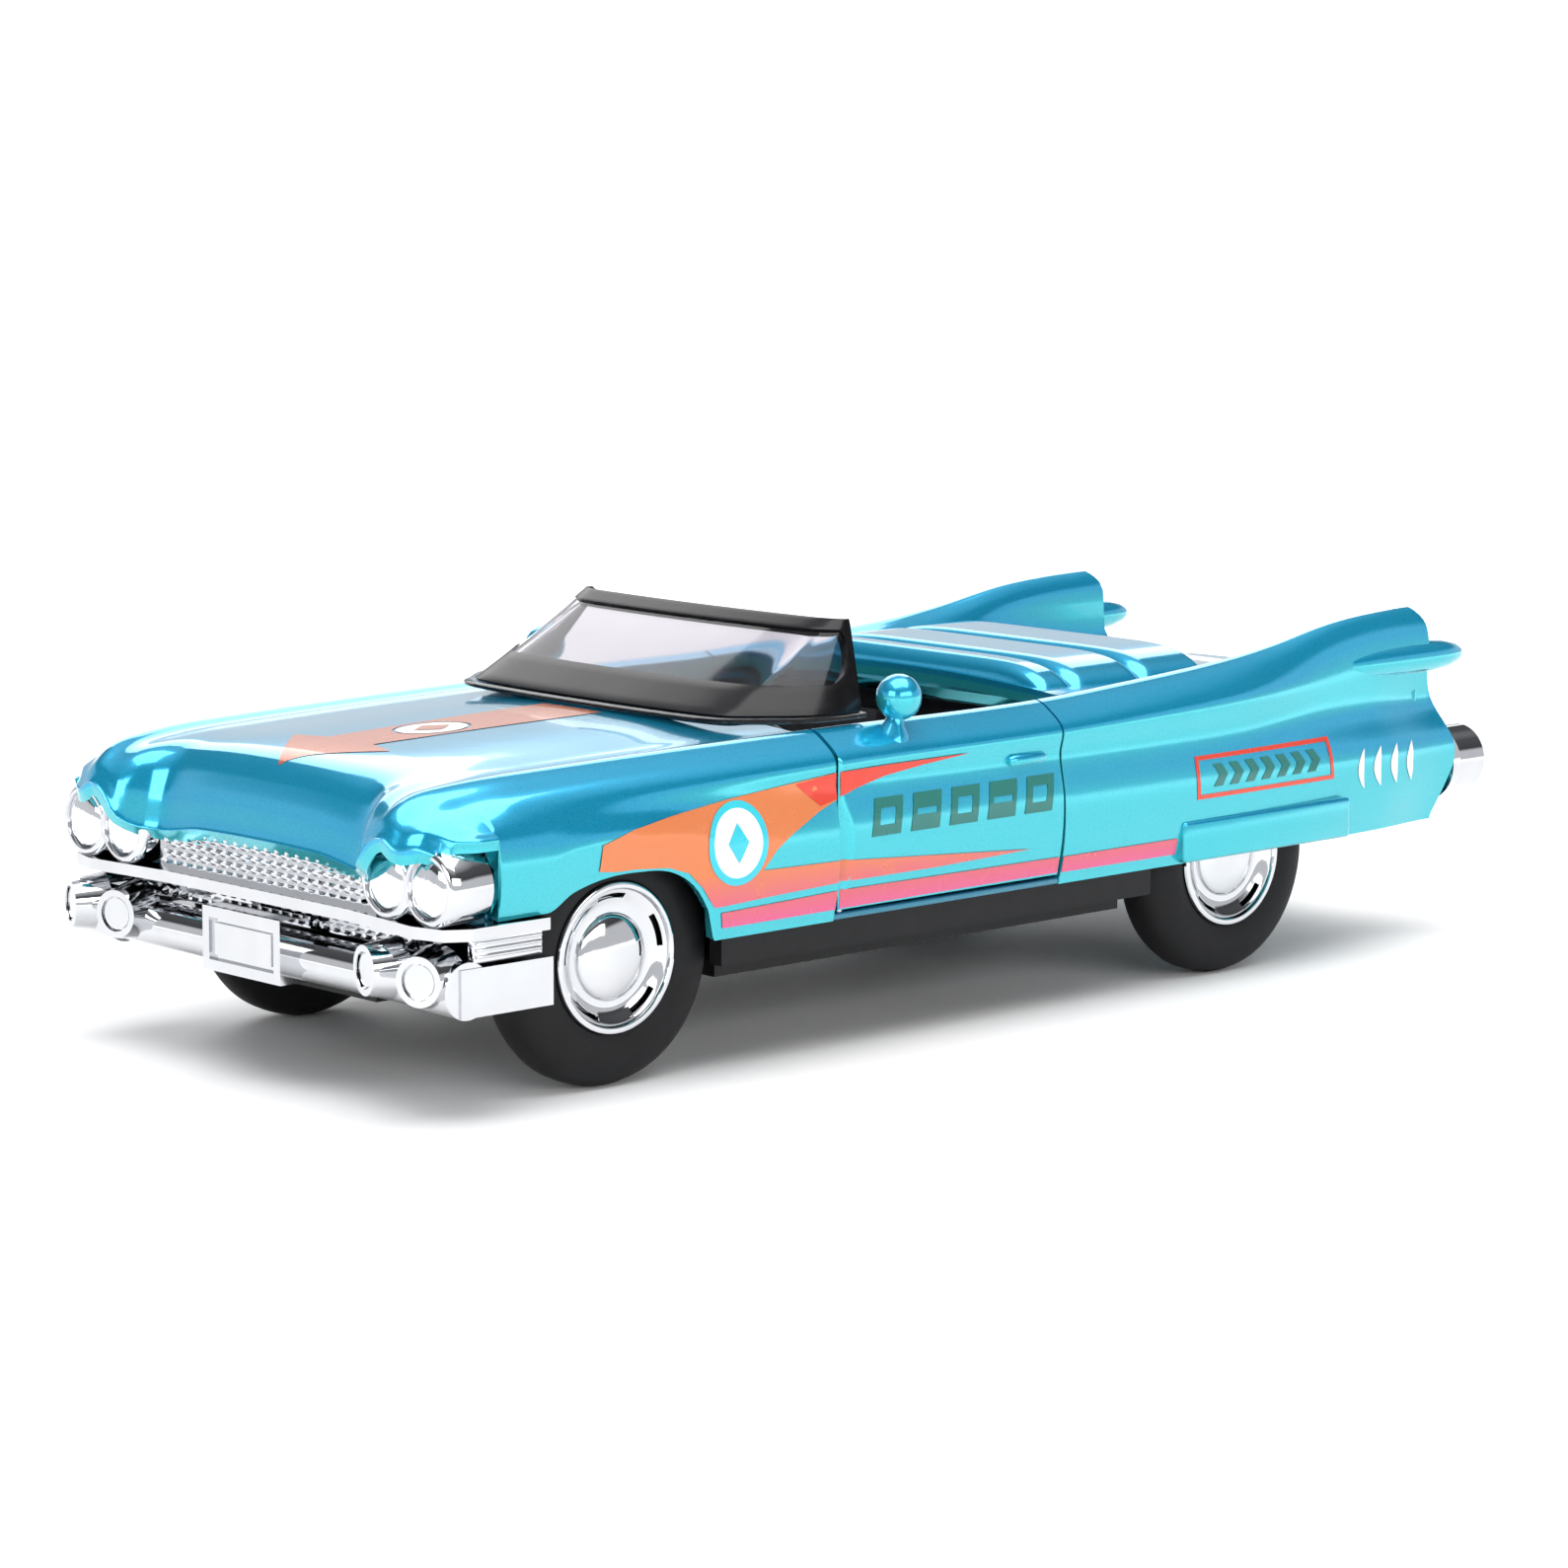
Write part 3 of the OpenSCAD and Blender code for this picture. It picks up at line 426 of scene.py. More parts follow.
# ---- Folded hood cover ----
# A smooth pad with two deep grooves across it. It belongs to the same casting and stands for a
# folded soft top behind the cockpit.
verts, faces = [], []
nx, ny = 90, 60
for i in range(nx + 1):
    for j in range(ny + 1):
        u, v = i / nx, -1 + 2 * j / ny
        x = -11.6 - 25 * u
        rib = 1 - 0.45 * (math.exp(-((u - 0.2) / 0.03) ** 2) + math.exp(-((u - 0.6) / 0.03) ** 2))
        edge = (1 - abs(v) ** 7) * min(1, math.sin(math.pi * u) * 6) ** 0.5
        z = B - 1.2 + (3.1 * rib + 0.5) * max(0, edge) ** 0.6
        verts.append((x, 20 * v, z))
for i in range(nx):
    for j in range(ny):
        a = i * (ny + 1) + j
        faces.append([a, a + 1, a + ny + 2, a + ny + 1])
cover = build("hood_cover", verts, faces)
bpy.ops.object.select_all(action="DESELECT")
cover.select_set(True)
bpy.context.view_layer.objects.active = cover
bpy.ops.object.mode_set(mode="EDIT")
bpy.ops.mesh.select_all(action="SELECT")
bpy.ops.mesh.normals_make_consistent(inside=False)
bpy.ops.object.mode_set(mode="OBJECT")
if sum(p.normal.z for p in cover.data.polygons) < 0:
    cover.data.flip_normals()
smooth(cover, 60)
store_facing_for_lacquer_light(cover)
finish(cover, candy, "base")


def turned(name, outline, centre, direction, segments=64):
    """A body of revolution: outline is (distance along the axis, radius), in millimetres."""
    axis = Vector(direction).normalized()
    across = axis.orthogonal().normalized()
    third = axis.cross(across)
    verts, faces, n = [], [], len(outline)
    for k in range(segments):
        angle = 2 * math.pi * k / segments
        ray = math.cos(angle) * across + math.sin(angle) * third
        verts += [Vector(centre) + axis * a + ray * r for a, r in outline]
    for k in range(segments):
        for i in range(n - 1):
            a, b = k * n + i, ((k + 1) % segments) * n + i
            faces.append([a, b, b + 1, a + 1])
    piece = build(name, verts, faces)
    cells = bmesh.new()
    cells.from_mesh(piece.data)
    bmesh.ops.remove_doubles(cells, verts=cells.verts, dist=0.001 * MM)
    bmesh.ops.recalc_face_normals(cells, faces=cells.faces)
    cells.to_mesh(piece.data)
    cells.free()
    smooth(piece, 38)
    return piece


# ---- Bullet lamps on the fins ----
# A tapered lamp grows out of each fin below its top, and its tip stands clear behind the fin.
# Both belong to the casting and carry its lacquer.
bullet_outline = [(0, 0), (0.8, 1.0), (2, 1.45), (6, 1.7), (12, 1.75), (15.5, 1.7), (18, 1.5),
                  (20, 1.1), (20.9, 0.65), (21.2, 0)]
for side, name in ((1, "left"), (-1, "right")):
    bullet = turned("bullet_" + name, bullet_outline, (-50, side * (W - 3.9), B - 0.5), (-1, 0, 0), 40)
    store_facing_for_lacquer_light(bullet)
    finish(bullet, candy, "base")

# ---- Doors ----
# Each door is a lacquered casting on a hidden pin at its front edge, with a ball mirror on a
# stalk and a small pull handle.
door_rows = sorted({seam_x - (seam_x - door_rear) * i / 60 for i in range(61)}
                   | {seam_x - 0.15 * i for i in range(1, 14)}, reverse=True)
stalk_outline = [(-1, 1.9), (0, 1.6), (0.8, 1.0), (1.8, 0.75), (2.8, 0.8)]
ball_outline = [(-2.2 * math.cos(a / 12 * math.pi),
        2.25 * math.sin(a / 12 * math.pi)) for a in range(13)]
grip_outline = [(0, 0), (0.1, 0.4), (0.5, 0.6), (2.6, 0.62), (4.7, 0.6), (5.1, 0.4), (5.2, 0)]
for side, name in ((1, "left"), (-1, "right")):
    body = name + "_door"
    door = skin("door_panel_" + name, door_rows, lambda x: door_z, lambda i, j: j < door_column, 2.0,
                (side,), rolled)
    store_facing_for_lacquer_light(door)
    finish(door, candy, body)
    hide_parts("door_" + name)
    stalk = turned("mirror_stalk_" + name, stalk_outline, (15.2, side * (W - 2.7), B - 1.0),
                   (-0.15, side * 0.12, 1), 32)
    ball = turned("mirror_ball_" + name, ball_outline, (14.7, side * (W - 2.4), B + 2.3), (1, 0, 0), 40)
    grip = turned("door_handle_" + name, grip_outline, (1.6, side * (W - 0.65), 26.0), (-1, 0, 0), 24)
    for piece in (stalk, ball, grip):
        store_facing_for_lacquer_light(piece)
        finish(piece, candy, body)

# ---- Printed graphics ----
# Prints on the lacquer: a two-pronged flash that fades from orange to pink, stripes, roundels,
# blocks, chevrons and crescents. Each is a sheet of ink about a tenth of a millimetre above it.


def ink(name, low, high, z_low=0.015, z_high=0.028, waves=0.0):
    """Printed ink whose colour runs from low to high with height."""
    material = bpy.data.materials.new(name)
    material.use_nodes = True
    nodes, links = material.node_tree.nodes, material.node_tree.links
    shader = nodes["Principled BSDF"]
    shader.inputs["Metallic"].default_value = 0.25
    shader.inputs["Coat Weight"].default_value = 0.6
    shader.inputs["Coat Roughness"].default_value = 0.05
    where = nodes.new("ShaderNodeTexCoord")
    split = nodes.new("ShaderNodeSeparateXYZ")
    links.new(where.outputs["Object"], split.inputs["Vector"])
    height = nodes.new("ShaderNodeMapRange")
    height.inputs["From Min"].default_value = z_low
    height.inputs["From Max"].default_value = z_high
    links.new(split.outputs["Z"], height.inputs["Value"])
    speck = nodes.new("ShaderNodeTexNoise")
    speck.inputs["Scale"].default_value = 180
    speck.inputs["Distortion"].default_value = 1.5
    links.new(where.outputs["Object"], speck.inputs["Vector"])
    drift = nodes.new("ShaderNodeMath")
    drift.operation = "MULTIPLY_ADD"
    drift.inputs[1].default_value = 0.08 + waves
    links.new(speck.outputs["Fac"], drift.inputs[0])
    links.new(height.outputs["Result"], drift.inputs[2])
    hue = nodes.new("ShaderNodeValToRGB")
    hue.color_ramp.elements[0].position = 0.1
    hue.color_ramp.elements[0].color = low + (1,)
    hue.color_ramp.elements[1].position = 0.75
    hue.color_ramp.elements[1].color = high + (1,)
    links.new(drift.outputs["Value"], hue.inputs["Fac"])
    links.new(hue.outputs["Color"], shader.inputs["Base Color"])
    rough = nodes.new("ShaderNodeMapRange")
    rough.inputs["To Min"].default_value = 0.2
    rough.inputs["To Max"].default_value = 0.32
    links.new(speck.outputs["Fac"], rough.inputs["Value"])
    links.new(rough.outputs["Result"], shader.inputs["Roughness"])
    return material


flash_ink = ink("flash_ink", (0.62, 0.08, 0.19), (0.66, 0.18, 0.05), 0.0155, 0.022, 0.25)
pink_ink = ink("pink_ink", (0.68, 0.08, 0.26), (0.62, 0.1, 0.12), 0.0135, 0.017)
red_ink = ink("red_ink", (0.68, 0.05, 0.02), (0.66, 0.03, 0.008), 0.02, 0.028)
white_ink = ink("white_ink", (0.85, 0.86, 0.86), (0.9, 0.9, 0.9))
green_ink = ink("green_ink", (0.0, 0.12, 0.13), (0.0, 0.16, 0.13))
hood_ink = ink("hood_ink", (0.4, 0.07, 0.02), (0.46, 0.11, 0.03), 0.028, 0.033)
cyan_ink = ink("cyan_ink", (0.02, 0.5, 0.62), (0.02, 0.55, 0.66))


def side_surface(x, z):
    """Distance from the middle of the car to the body's side at station x and height z."""
    low = door_z if door_rear <= x <= seam_x else lower_edge(x)
    row = section(x, low)
    for p, q in zip(row, row[1:]):
        if p.y <= z <= q.y and q.y > p.y:
            return p.x + (q.x - p.x) * (z - p.y) / (q.y - p.y)
    return row[0].x if z < row[0].y else row[6 * STEPS].x


def deck_surface(x, y):
    """Height of the bonnet at station x and distance y from the middle."""
    row = section(x, lower_edge(x))[6 * STEPS:]
    for p, q in zip(row, row[1:]):
        if q.x <= abs(y) <= p.x and p.x > q.x:
            return p.y + (q.y - p.y) * (p.x - abs(y)) / (p.x - q.x)
    return row[-1].y


def cut_sheet(outline, holes, step, span):
    """Triangles of an outline with holes, cut fine enough to follow a curved surface and
    trimmed to x between the two values of span."""
    cells = bmesh.new()
    edges = []
    for loop in [outline] + holes:
        points = []
        for (a, b), (c, d) in zip(loop, loop[1:] + loop[:1]):
            parts = max(1, int(math.hypot(c - a, d - b) / step))
            points += [cells.verts.new((a + (c - a) * k / parts, b + (d - b) * k / parts, 0))
                       for k in range(parts)]
        edges += [cells.edges.new((p, q)) for p, q in zip(points, points[1:] + points[:1])]
    bmesh.ops.triangle_fill(cells, edges=edges, use_beauty=True, use_dissolve=False)
    for x, outward in ((span[0], -1), (span[1], 1)):
        bmesh.ops.bisect_plane(cells, geom=cells.verts[:] + cells.edges[:] + cells.faces[:],
                               plane_co=(x, 0, 0), plane_no=(outward, 0, 0), clear_outer=True)
    for _ in range(3):
        long_edges = [e for e in cells.edges if e.calc_length() > 2 * step]
        if long_edges:
            bmesh.ops.subdivide_edges(cells, edges=long_edges, cuts=1)
            bmesh.ops.triangulate(cells, faces=cells.faces)
    points = [v.co.copy() for v in cells.verts]
    cells.verts.index_update()
    faces = [[v.index for v in f.verts] for f in cells.faces]
    cells.free()
    return points, faces


def print_side(name, outline, look, holes=(), lift=0.05, parts=("front", "door", "rear")):
    """Print on both sides of the car, cut at the shut lines so that each part rides its body."""
    spans = {"front": (seam_x + 0.55, 80, "base"), "door": (door_rear + 0.1, seam_x - 0.1, "door"),
             "rear": (-80, door_rear - 0.35, "base")}
    for part in parts:
        x0, x1, body = spans[part]
        points, faces = cut_sheet(list(outline), [list(h) for h in holes], 0.9, (x0, x1))
        if not faces:
            continue
        for side, side_name in ((1, "left"), (-1, "right")):
            edge = rolled if part == "door" else lambda x, y: y
            verts = []
            for p in points:
                y = side_surface(p.x, p.y)
                verts.append((shifted(p.x, y, p.y), side * (edge(p.x, y) + lift), p.y))
            sheet = build(name + "_" + part + "_" + side_name, verts, faces)
            cells = bmesh.new()
            cells.from_mesh(sheet.data)
            cells.normal_update()
            turned_in = sum(f.normal.y * side for f in cells.faces) < 0
            if turned_in:
                bmesh.ops.reverse_faces(cells, faces=cells.faces)
            cells.to_mesh(sheet.data)
            cells.free()
            smooth(sheet, 60)
            finish(sheet, look, "base" if body == "base" else side_name + "_door")


def ring(cx, cz, rx, rz, count=40):
    return [(cx + rx * math.cos(2 * math.pi * k / count), cz + rz * math.sin(2 * math.pi * k / count))
            for k in range(count)]


flash = [(54.6, 21.2), (54.4, 23.6), (50.6, 24.6), (45.9, 25.3), (38.6, 26.1), (31.1, 26.7),
         (24.8, 27.2), (18.3, 27.3), (7.1, 27.4), (13.1, 26.9), (18.3, 26.3), (22.2, 25.5),
         (24.1, 24.9), (27.3, 23.8), (31.1, 22.0), (33.0, 20.8), (34.7, 19.1), (24.7, 18.9),
         (11.6, 18.0), (-1.3, 17.1), (11.6, 16.8), (24.7, 16.8), (33.6, 16.5), (40.4, 16.2),
         (41.8, 18.2), (43.6, 19.8), (46.2, 20.6), (50, 20.9), (52.5, 20.95)]
print_side("flash", flash, flash_ink, lift=0.1)
flash_point = [(30, 26.6), (24.8, 27.2), (18.3, 27.35), (7.1, 27.4), (13.1, 26.9), (18.3, 26.3),
               (22.2, 25.5), (24.1, 24.9), (27, 24.3)]
print_side("flash_point", flash_point, red_ink, lift=0.14)
low_stripe = [(39.6, 15.6), (24.7, 16.0), (10.3, 15.9), (-5.5, 15.8), (-22.8, 15.8), (-22.8, 14.15),
              (-5.9, 14.2), (10.2, 14.2), (23.4, 14.15), (39.2, 14.1)]
print_side("low_stripe", low_stripe, pink_ink, lift=0.08)
disc_edge = ring(37.8, 22, 3.05, 3.25)
print_side("roundel_ring", ring(37.8, 22, 3.75, 3.95), cyan_ink, [disc_edge], 0.15, ("front",))
print_side("roundel", disc_edge, white_ink, (), 0.15, ("front",))
print_side("roundel_mark", ring(37.8, 22, 1.3, 1.9, 4), cyan_ink, (), 0.2, ("front",))
for k in range(5):
    x = 20.6 - 5.2 * k
    block = [(x, 20.7), (x - 0.7, 24.3), (x - 4.5, 24.3), (x - 3.8, 20.7)]
    window = [(x - 1.1, 21.7), (x - 1.4, 23.3), (x - 3.4, 23.3), (x - 3.1, 21.7)]
    slit = [(x - 0.9, 22.2), (x - 1.0, 22.8), (x - 3.7, 22.8), (x - 3.6, 22.2)]
    print_side("block_%d" % k, block, green_ink, [slit if k % 2 else window], 0.06, ("door",))
print_side("panel_frame", [(-25.3, 19.5), (-46.9, 19.5), (-46.6, 23.9), (-25.2, 23.9)], red_ink,
           [[(-25.8, 19.95), (-46.4, 19.95), (-46.1, 23.45), (-25.7, 23.45)]], 0.06, ("rear",))
for k in range(7):
    x = -27.8 - 2.45 * k
    chevron = [(x, 20.6), (x - 0.9, 21.75), (x, 22.9), (x - 1.3, 22.9), (x - 2.2, 21.75),
            (x - 1.3, 20.6)]
    print_side("chevron_%d" % k, chevron, green_ink, (), 0.06, ("rear",))
for k in range(4):
    x = -51.6 - 2.3 * k
    outer = [(x + 1.2 * (1 - (t / 6) ** 2) - 0.6, 20 + 2.15 * t / 6) for t in range(-6, 7)]
    inner = [(x + 0.25 * (1 - (t / 6) ** 2) - 0.6, 20 + 2.15 * t / 6) for t in range(5, -6, -1)]
    print_side("crescent_%d" % k, outer + inner, white_ink, (), 0.06, ("rear",))


def print_deck(name, outline, look, holes=(), lift=0.05):
    points, faces = cut_sheet(list(outline), [list(h) for h in holes], 1.0, (30, 75))
    verts = [(shifted(p.x, p.y, 30), p.y, deck_surface(p.x, p.y) + lift) for p in points]
    sheet = build(name, verts, faces)
    if sum(f.normal.z for f in sheet.data.polygons) < 0:
        sheet.data.flip_normals()
    smooth(sheet, 60)
    finish(sheet, look, "base")


arrow = [(33.3, -4.3), (33.3, 4.3), (60.5, 3.4), (61.5, 7.2), (71.5, 0), (61.5, -7.2), (60.5, -3.4)]
print_deck("hood_stripe", arrow, hood_ink, [ring(50.8, 0, 4.1, 3.1)])
print_deck("hood_roundel", ring(50.8, 0, 3.8, 2.8), white_ink)
print_deck("hood_roundel_mark", ring(50.8, 0, 2.2, 1.5, 4), hood_ink, (), 0.09)

# ---- Windscreen ----
# One smoked moulding, curved in plan and raked back, held in a thick black frame whose base
# has a thin clear flange.
black_trim = surface("satin_black", (0.005, 0.005, 0.006), 0.24, 0, 700, 0.25, 0.2, 0.15, 3500)
black_trim.node_tree.nodes["Principled BSDF"].inputs["Specular IOR Level"].default_value = 0.25
smoked = bpy.data.materials.new("smoked_clear")
smoked.use_nodes = True
nodes, links = smoked.node_tree.nodes, smoked.node_tree.links
shader = nodes["Principled BSDF"]
shader.inputs["Transmission Weight"].default_value = 1.0
shader.inputs["IOR"].default_value = 1.3
where = nodes.new("ShaderNodeTexCoord")
haze = nodes.new("ShaderNodeTexNoise")
haze.inputs["Scale"].default_value = 60
links.new(where.outputs["Object"], haze.inputs["Vector"])
hue = nodes.new("ShaderNodeValToRGB")
hue.color_ramp.elements[0].color = (0.36, 0.34, 0.38, 1)
hue.color_ramp.elements[1].color = (0.5, 0.48, 0.52, 1)
links.new(haze.outputs["Fac"], hue.inputs["Fac"])
links.new(hue.outputs["Color"], shader.inputs["Base Color"])
cloud = nodes.new("ShaderNodeMapRange")
cloud.inputs["To Min"].default_value = 0.02
cloud.inputs["To Max"].default_value = 0.07
links.new(haze.outputs["Fac"], cloud.inputs["Value"])
links.new(cloud.outputs["Result"], shader.inputs["Roughness"])

screen_low, screen_top = B + 0.95, B + 9.2


def screen_line(k, count=72):
    """Plan of the screen at height share k, from the right rear corner round to the left."""
    xf, xs, yf, ys = 31 - 14.6 * k, 17.5 - 3.2 * k, 17.5 - 2.5 * k, 23.8 - 5.2 * k
    wrap = (xf - xs) / 13.5
    half = [Vector((xf + 0.5, 0)), Vector((xf + 0.35, yf / 2)), Vector((xf - 0.5 * wrap, yf)),
            Vector((xf - 3 * wrap, yf + 2.2 + 0.7 * wrap)), Vector((xf - 7.4 * wrap, ys - 0.4 * wrap)),
            Vector((xs, ys))]
    c = [Vector((p.x, -p.y)) for p in half[:0:-1]] + half
    ends = [2 * c[0] - c[1]] + c + [2 * c[-1] - c[-2]]
    line = []
    for i in range(1, len(ends) - 2):
        p0, p1, p2, p3 = ends[i - 1:i + 3]
        for s in range(8):
            t = s / 8
            line.append(0.5 * (2 * p1 + (p2 - p0) * t + (2 * p0 - 5 * p1 + 4 * p2 - p3) * t * t
                               + (3 * p1 - p0 - 3 * p2 + p3) * t ** 3))
    line.append(c[-1])
    z = screen_low + (screen_top - screen_low) * k
    return [Vector((p.x, p.y, z)) for p in line]


levels = [0.02 + 0.95 * k / 10 for k in range(11)]
rows = [screen_line(k) for k in levels]
n = len(rows[0])
verts = [p for row in rows for p in row]
faces = [[i * n + j, i * n + j + 1, (i + 1) * n + j + 1, (i + 1) * n + j]
         for i in range(len(rows) - 1) for j in range(n - 1)]
screen = build("windscreen", verts, faces)
if sum(p.normal.x for p in screen.data.polygons) < 0:
    screen.data.flip_normals()
thicken(screen, 0.8)
smooth(screen, 40)
finish(screen, smoked, "base")
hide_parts("windscreen_glass")


def swept(name, path, half_width, half_height, count=10):
    """A rounded rail along an open path of points, in millimetres."""
    verts, faces = [], []
    last = len(path) - 1
    for i, p in enumerate(path):
        along = (path[min(i + 1, last)] - path[max(i - 1, 0)]).normalized()
        out = along.cross(Vector((0, 0, 1))).normalized()
        upward = out.cross(along).normalized()
        for k in range(count):
            a = 2 * math.pi * (k + 0.5) / count
            verts.append(p + out * half_width * math.copysign(abs(math.cos(a)) ** 0.6, math.cos(a))
                         + upward * half_height * math.copysign(abs(math.sin(a)) ** 0.6, math.sin(a)))
    for i in range(last):
        for k in range(count):
            a, b, turn = i * count, (i + 1) * count, (k + 1) % count
            faces.append([a + k, b + k, b + turn, a + turn])
    faces.append(list(range(count)))
    faces.append(list(range(last * count, (last + 1) * count))[::-1])
    piece = build(name, verts, faces)
    cells = bmesh.new()
    cells.from_mesh(piece.data)
    bmesh.ops.recalc_face_normals(cells, faces=cells.faces)
    cells.to_mesh(piece.data)
    cells.free()
    smooth(piece, 50)
    return piece


def on_screen(across, k):
    """Point of the screen's outer face, across from 0 at the right rear corner to 1 at the left."""
    line = screen_line(k)
    at = clamp(across) * (len(line) - 1)
    i = min(int(at), len(line) - 2)
    return line[i].lerp(line[i + 1], at - i)


def rounded_opening(low, high, edge, corner_across, corner_up, steps=14):
    """Corner-rounded rectangle in screen shares, in order round the frame."""
    loop = []
    corners = ((1 - edge, high, 0), (edge, high, 1), (edge, low, 2), (1 - edge, low, 3))
    for a, b, quarter in corners:
        ca = a - corner_across if a > 0.5 else a + corner_across
        cb = b - corner_up if b > 0.5 else b + corner_up
        for t in range(steps + 1):
            angle = math.pi / 2 * (quarter + t / steps)
            loop.append((ca + corner_across * math.cos(angle), cb + corner_up * math.sin(angle)))
        if quarter in (0, 2):
            end, start = (edge + corner_across, 1 - edge - corner_across), loop[-1]
            target = end[0] if quarter == 0 else end[1]
            loop += [(start[0] + (target - start[0]) * t / 60, start[1]) for t in range(1, 60)]
        else:
            target = low + corner_up if quarter == 1 else high - corner_up
            start = loop[-1]
            loop += [(start[0], start[1] + (target - start[1]) * t / 6) for t in range(1, 6)]
    return loop


outer = rounded_opening(0.0, 0.985, 0.0, 0.012, 0.1)
inner = rounded_opening(0.3, 0.87, 0.03, 0.055, 0.26)
verts, faces, rings = [], [], 5
for k in range(rings):
    share = k / (rings - 1)
    verts += [on_screen(a + (c - a) * share, b + (d - b) * share) for (a, b),
            (c, d) in zip(outer, inner)]
total = len(outer)
for k in range(rings - 1):
    for i in range(total):
        j = (i + 1) % total
        faces.append([k * total + i, k * total + j, (k + 1) * total + j, (k + 1) * total + i])
surround = build("screen_surround", verts, faces)
if sum(p.normal.x * p.area for p in surround.data.polygons) < 0:
    surround.data.flip_normals()
surround.modifiers.new("lift", "DISPLACE").strength = 0.22 * MM
surround.modifiers["lift"].mid_level = 0
apply_modifiers(surround)
thicken(surround, 1.25)
soften(surround, 0.16, 50)
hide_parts("windscreen_frame")
flange = swept("screen_flange", screen_line(-0.03), 0.9, 0.28)
finish(surround, black_trim, "base")
finish(flange, smoked, "base")

# ---- Interior ----
# Tub, two benches, dashboard and steering wheel, all moulded in satin black. They stand in the
# cockpit on the base, and the benches have a fine grain.
vinyl = surface("moulded_seat_grain", (0.02, 0.02, 0.022), 0.45, 0, 1200, 0.25, 0.2, 0.5, 5000)
for node in ("interior_tub", "dashboard", "steering_wheel", "front_seat", "rear_seat"):
    piece = frame["nodes"][node]
    rounding = piece.modifiers.new("rounding", "BEVEL")
    rounding.width = (0.6 if "seat" in node else 0.25) * MM
    rounding.segments = 3
    rounding.limit_method = "ANGLE"
    rounding.angle_limit = math.radians(35)
    piece.data.materials.clear()
    piece.data.materials.append(vinyl if "seat" in node else black_trim)
    smooth(piece, 40)

# ---- Headlamp pods ----
# Plated plastic, two lamps a side, each with a domed lens set in a stepped ring. The bridge
# between the lamps sits under the brow of the wing.
plated = surface("bright_plating", (0.66, 0.67, 0.69), 0.07, 1.0, 250, 0.03, 0.35, 0.04, 900)
lens_look = surface("lamp_lens", (0.75, 0.77, 0.8), 0.05, 1.0, 500, 0.04, 0.3, 0.3, 1600, 1.0)
lens_outline = [(0, 0), (0, 2.62), (0.3, 2.6), (0.48, 2.4), (0.72, 1.8), (0.88, 1.0), (0.92, 0)]
for side, name in ((1, "left"), (-1, "right")):
    first = None
    low, high = [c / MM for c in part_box("headlamp_pod_" + name)]
    for number, y in enumerate((20, 26.1)):
        depth = high.x - low.x
        bezel_outline = [(0, 0), (0, 3.3), (depth * 0.4, 3.6), (depth - 0.9, 3.62),
                         (depth - 0.45, 3.5), (depth - 0.15, 3.2), (depth - 0.1, 2.9),
                         (depth - 0.16, 2.78), (depth - 0.5, 2.72), (depth - 0.6, 2.6),
                         (depth - 0.6, 0)]
        bezel = turned("headlamp_%s_%d" % (name, number), bezel_outline, (low.x, side * y, 21.3),
                       (1, 0, 0), 64)
        lens = turned("headlamp_lens_%s_%d" % (name, number), lens_outline,
                      (high.x - 0.75, side * y, 21.3), (1, 0, 0), 64)
        finish(bezel, plated, "base")
        finish(lens, lens_look, "base")
        first = first or bezel
    low_y, high_y = sorted((side * 19.6, side * 26.5))
    shell = plate("headlamp_bridge_" + name, (low.x, low_y, 18.2), (high.x - 0.75, high_y, 24.4), 0.9)
    finish(shell, plated, "base")
    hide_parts("headlamp_pod_" + name)

# ---- Grille and bumpers ----
# A plated panel of small studs in rows, with a blade across it that wraps round to the wings.
# The bumpers are plated mouldings, pushed in below it and at the tail.
for node in ("grille", "front_bumper", "rear_bumper"):
    piece = frame["nodes"][node]
    rounding = piece.modifiers.new("rounding", "BEVEL")
    rounding.width = 0.12 * MM if node == "grille" else 0.3 * MM
    rounding.segments = 3
    rounding.limit_method = "ANGLE"
    rounding.angle_limit = math.radians(35)
    piece.data.materials.clear()
    piece.data.materials.append(plated)
    smooth(piece, 40)

# ribbed ends of the panel, behind the blade on the wings
for side, name in ((1, "left"), (-1, "right")):
    ys = sorted((side * (W - 1.0), side * (W - 0.15)))
    strip = plate("grille_end_" + name, (front_x + 11.6, ys[0], 14.5),
            (front_x + 19.6, ys[1], 16.9), 0.15)
    finish(strip, plated, "base")
    for z in (15.0, 15.6, 16.2):
        ys = sorted((side * (W - 0.3), side * (W + 0.1)))
        rib = plate("grille_end_rib_%s_%d" % (name, z * 10), (front_x + 11.8, ys[0], z),
                    (front_x + 19.4, ys[1], z + 0.3), 0.1)
        finish(rib, plated, "base")

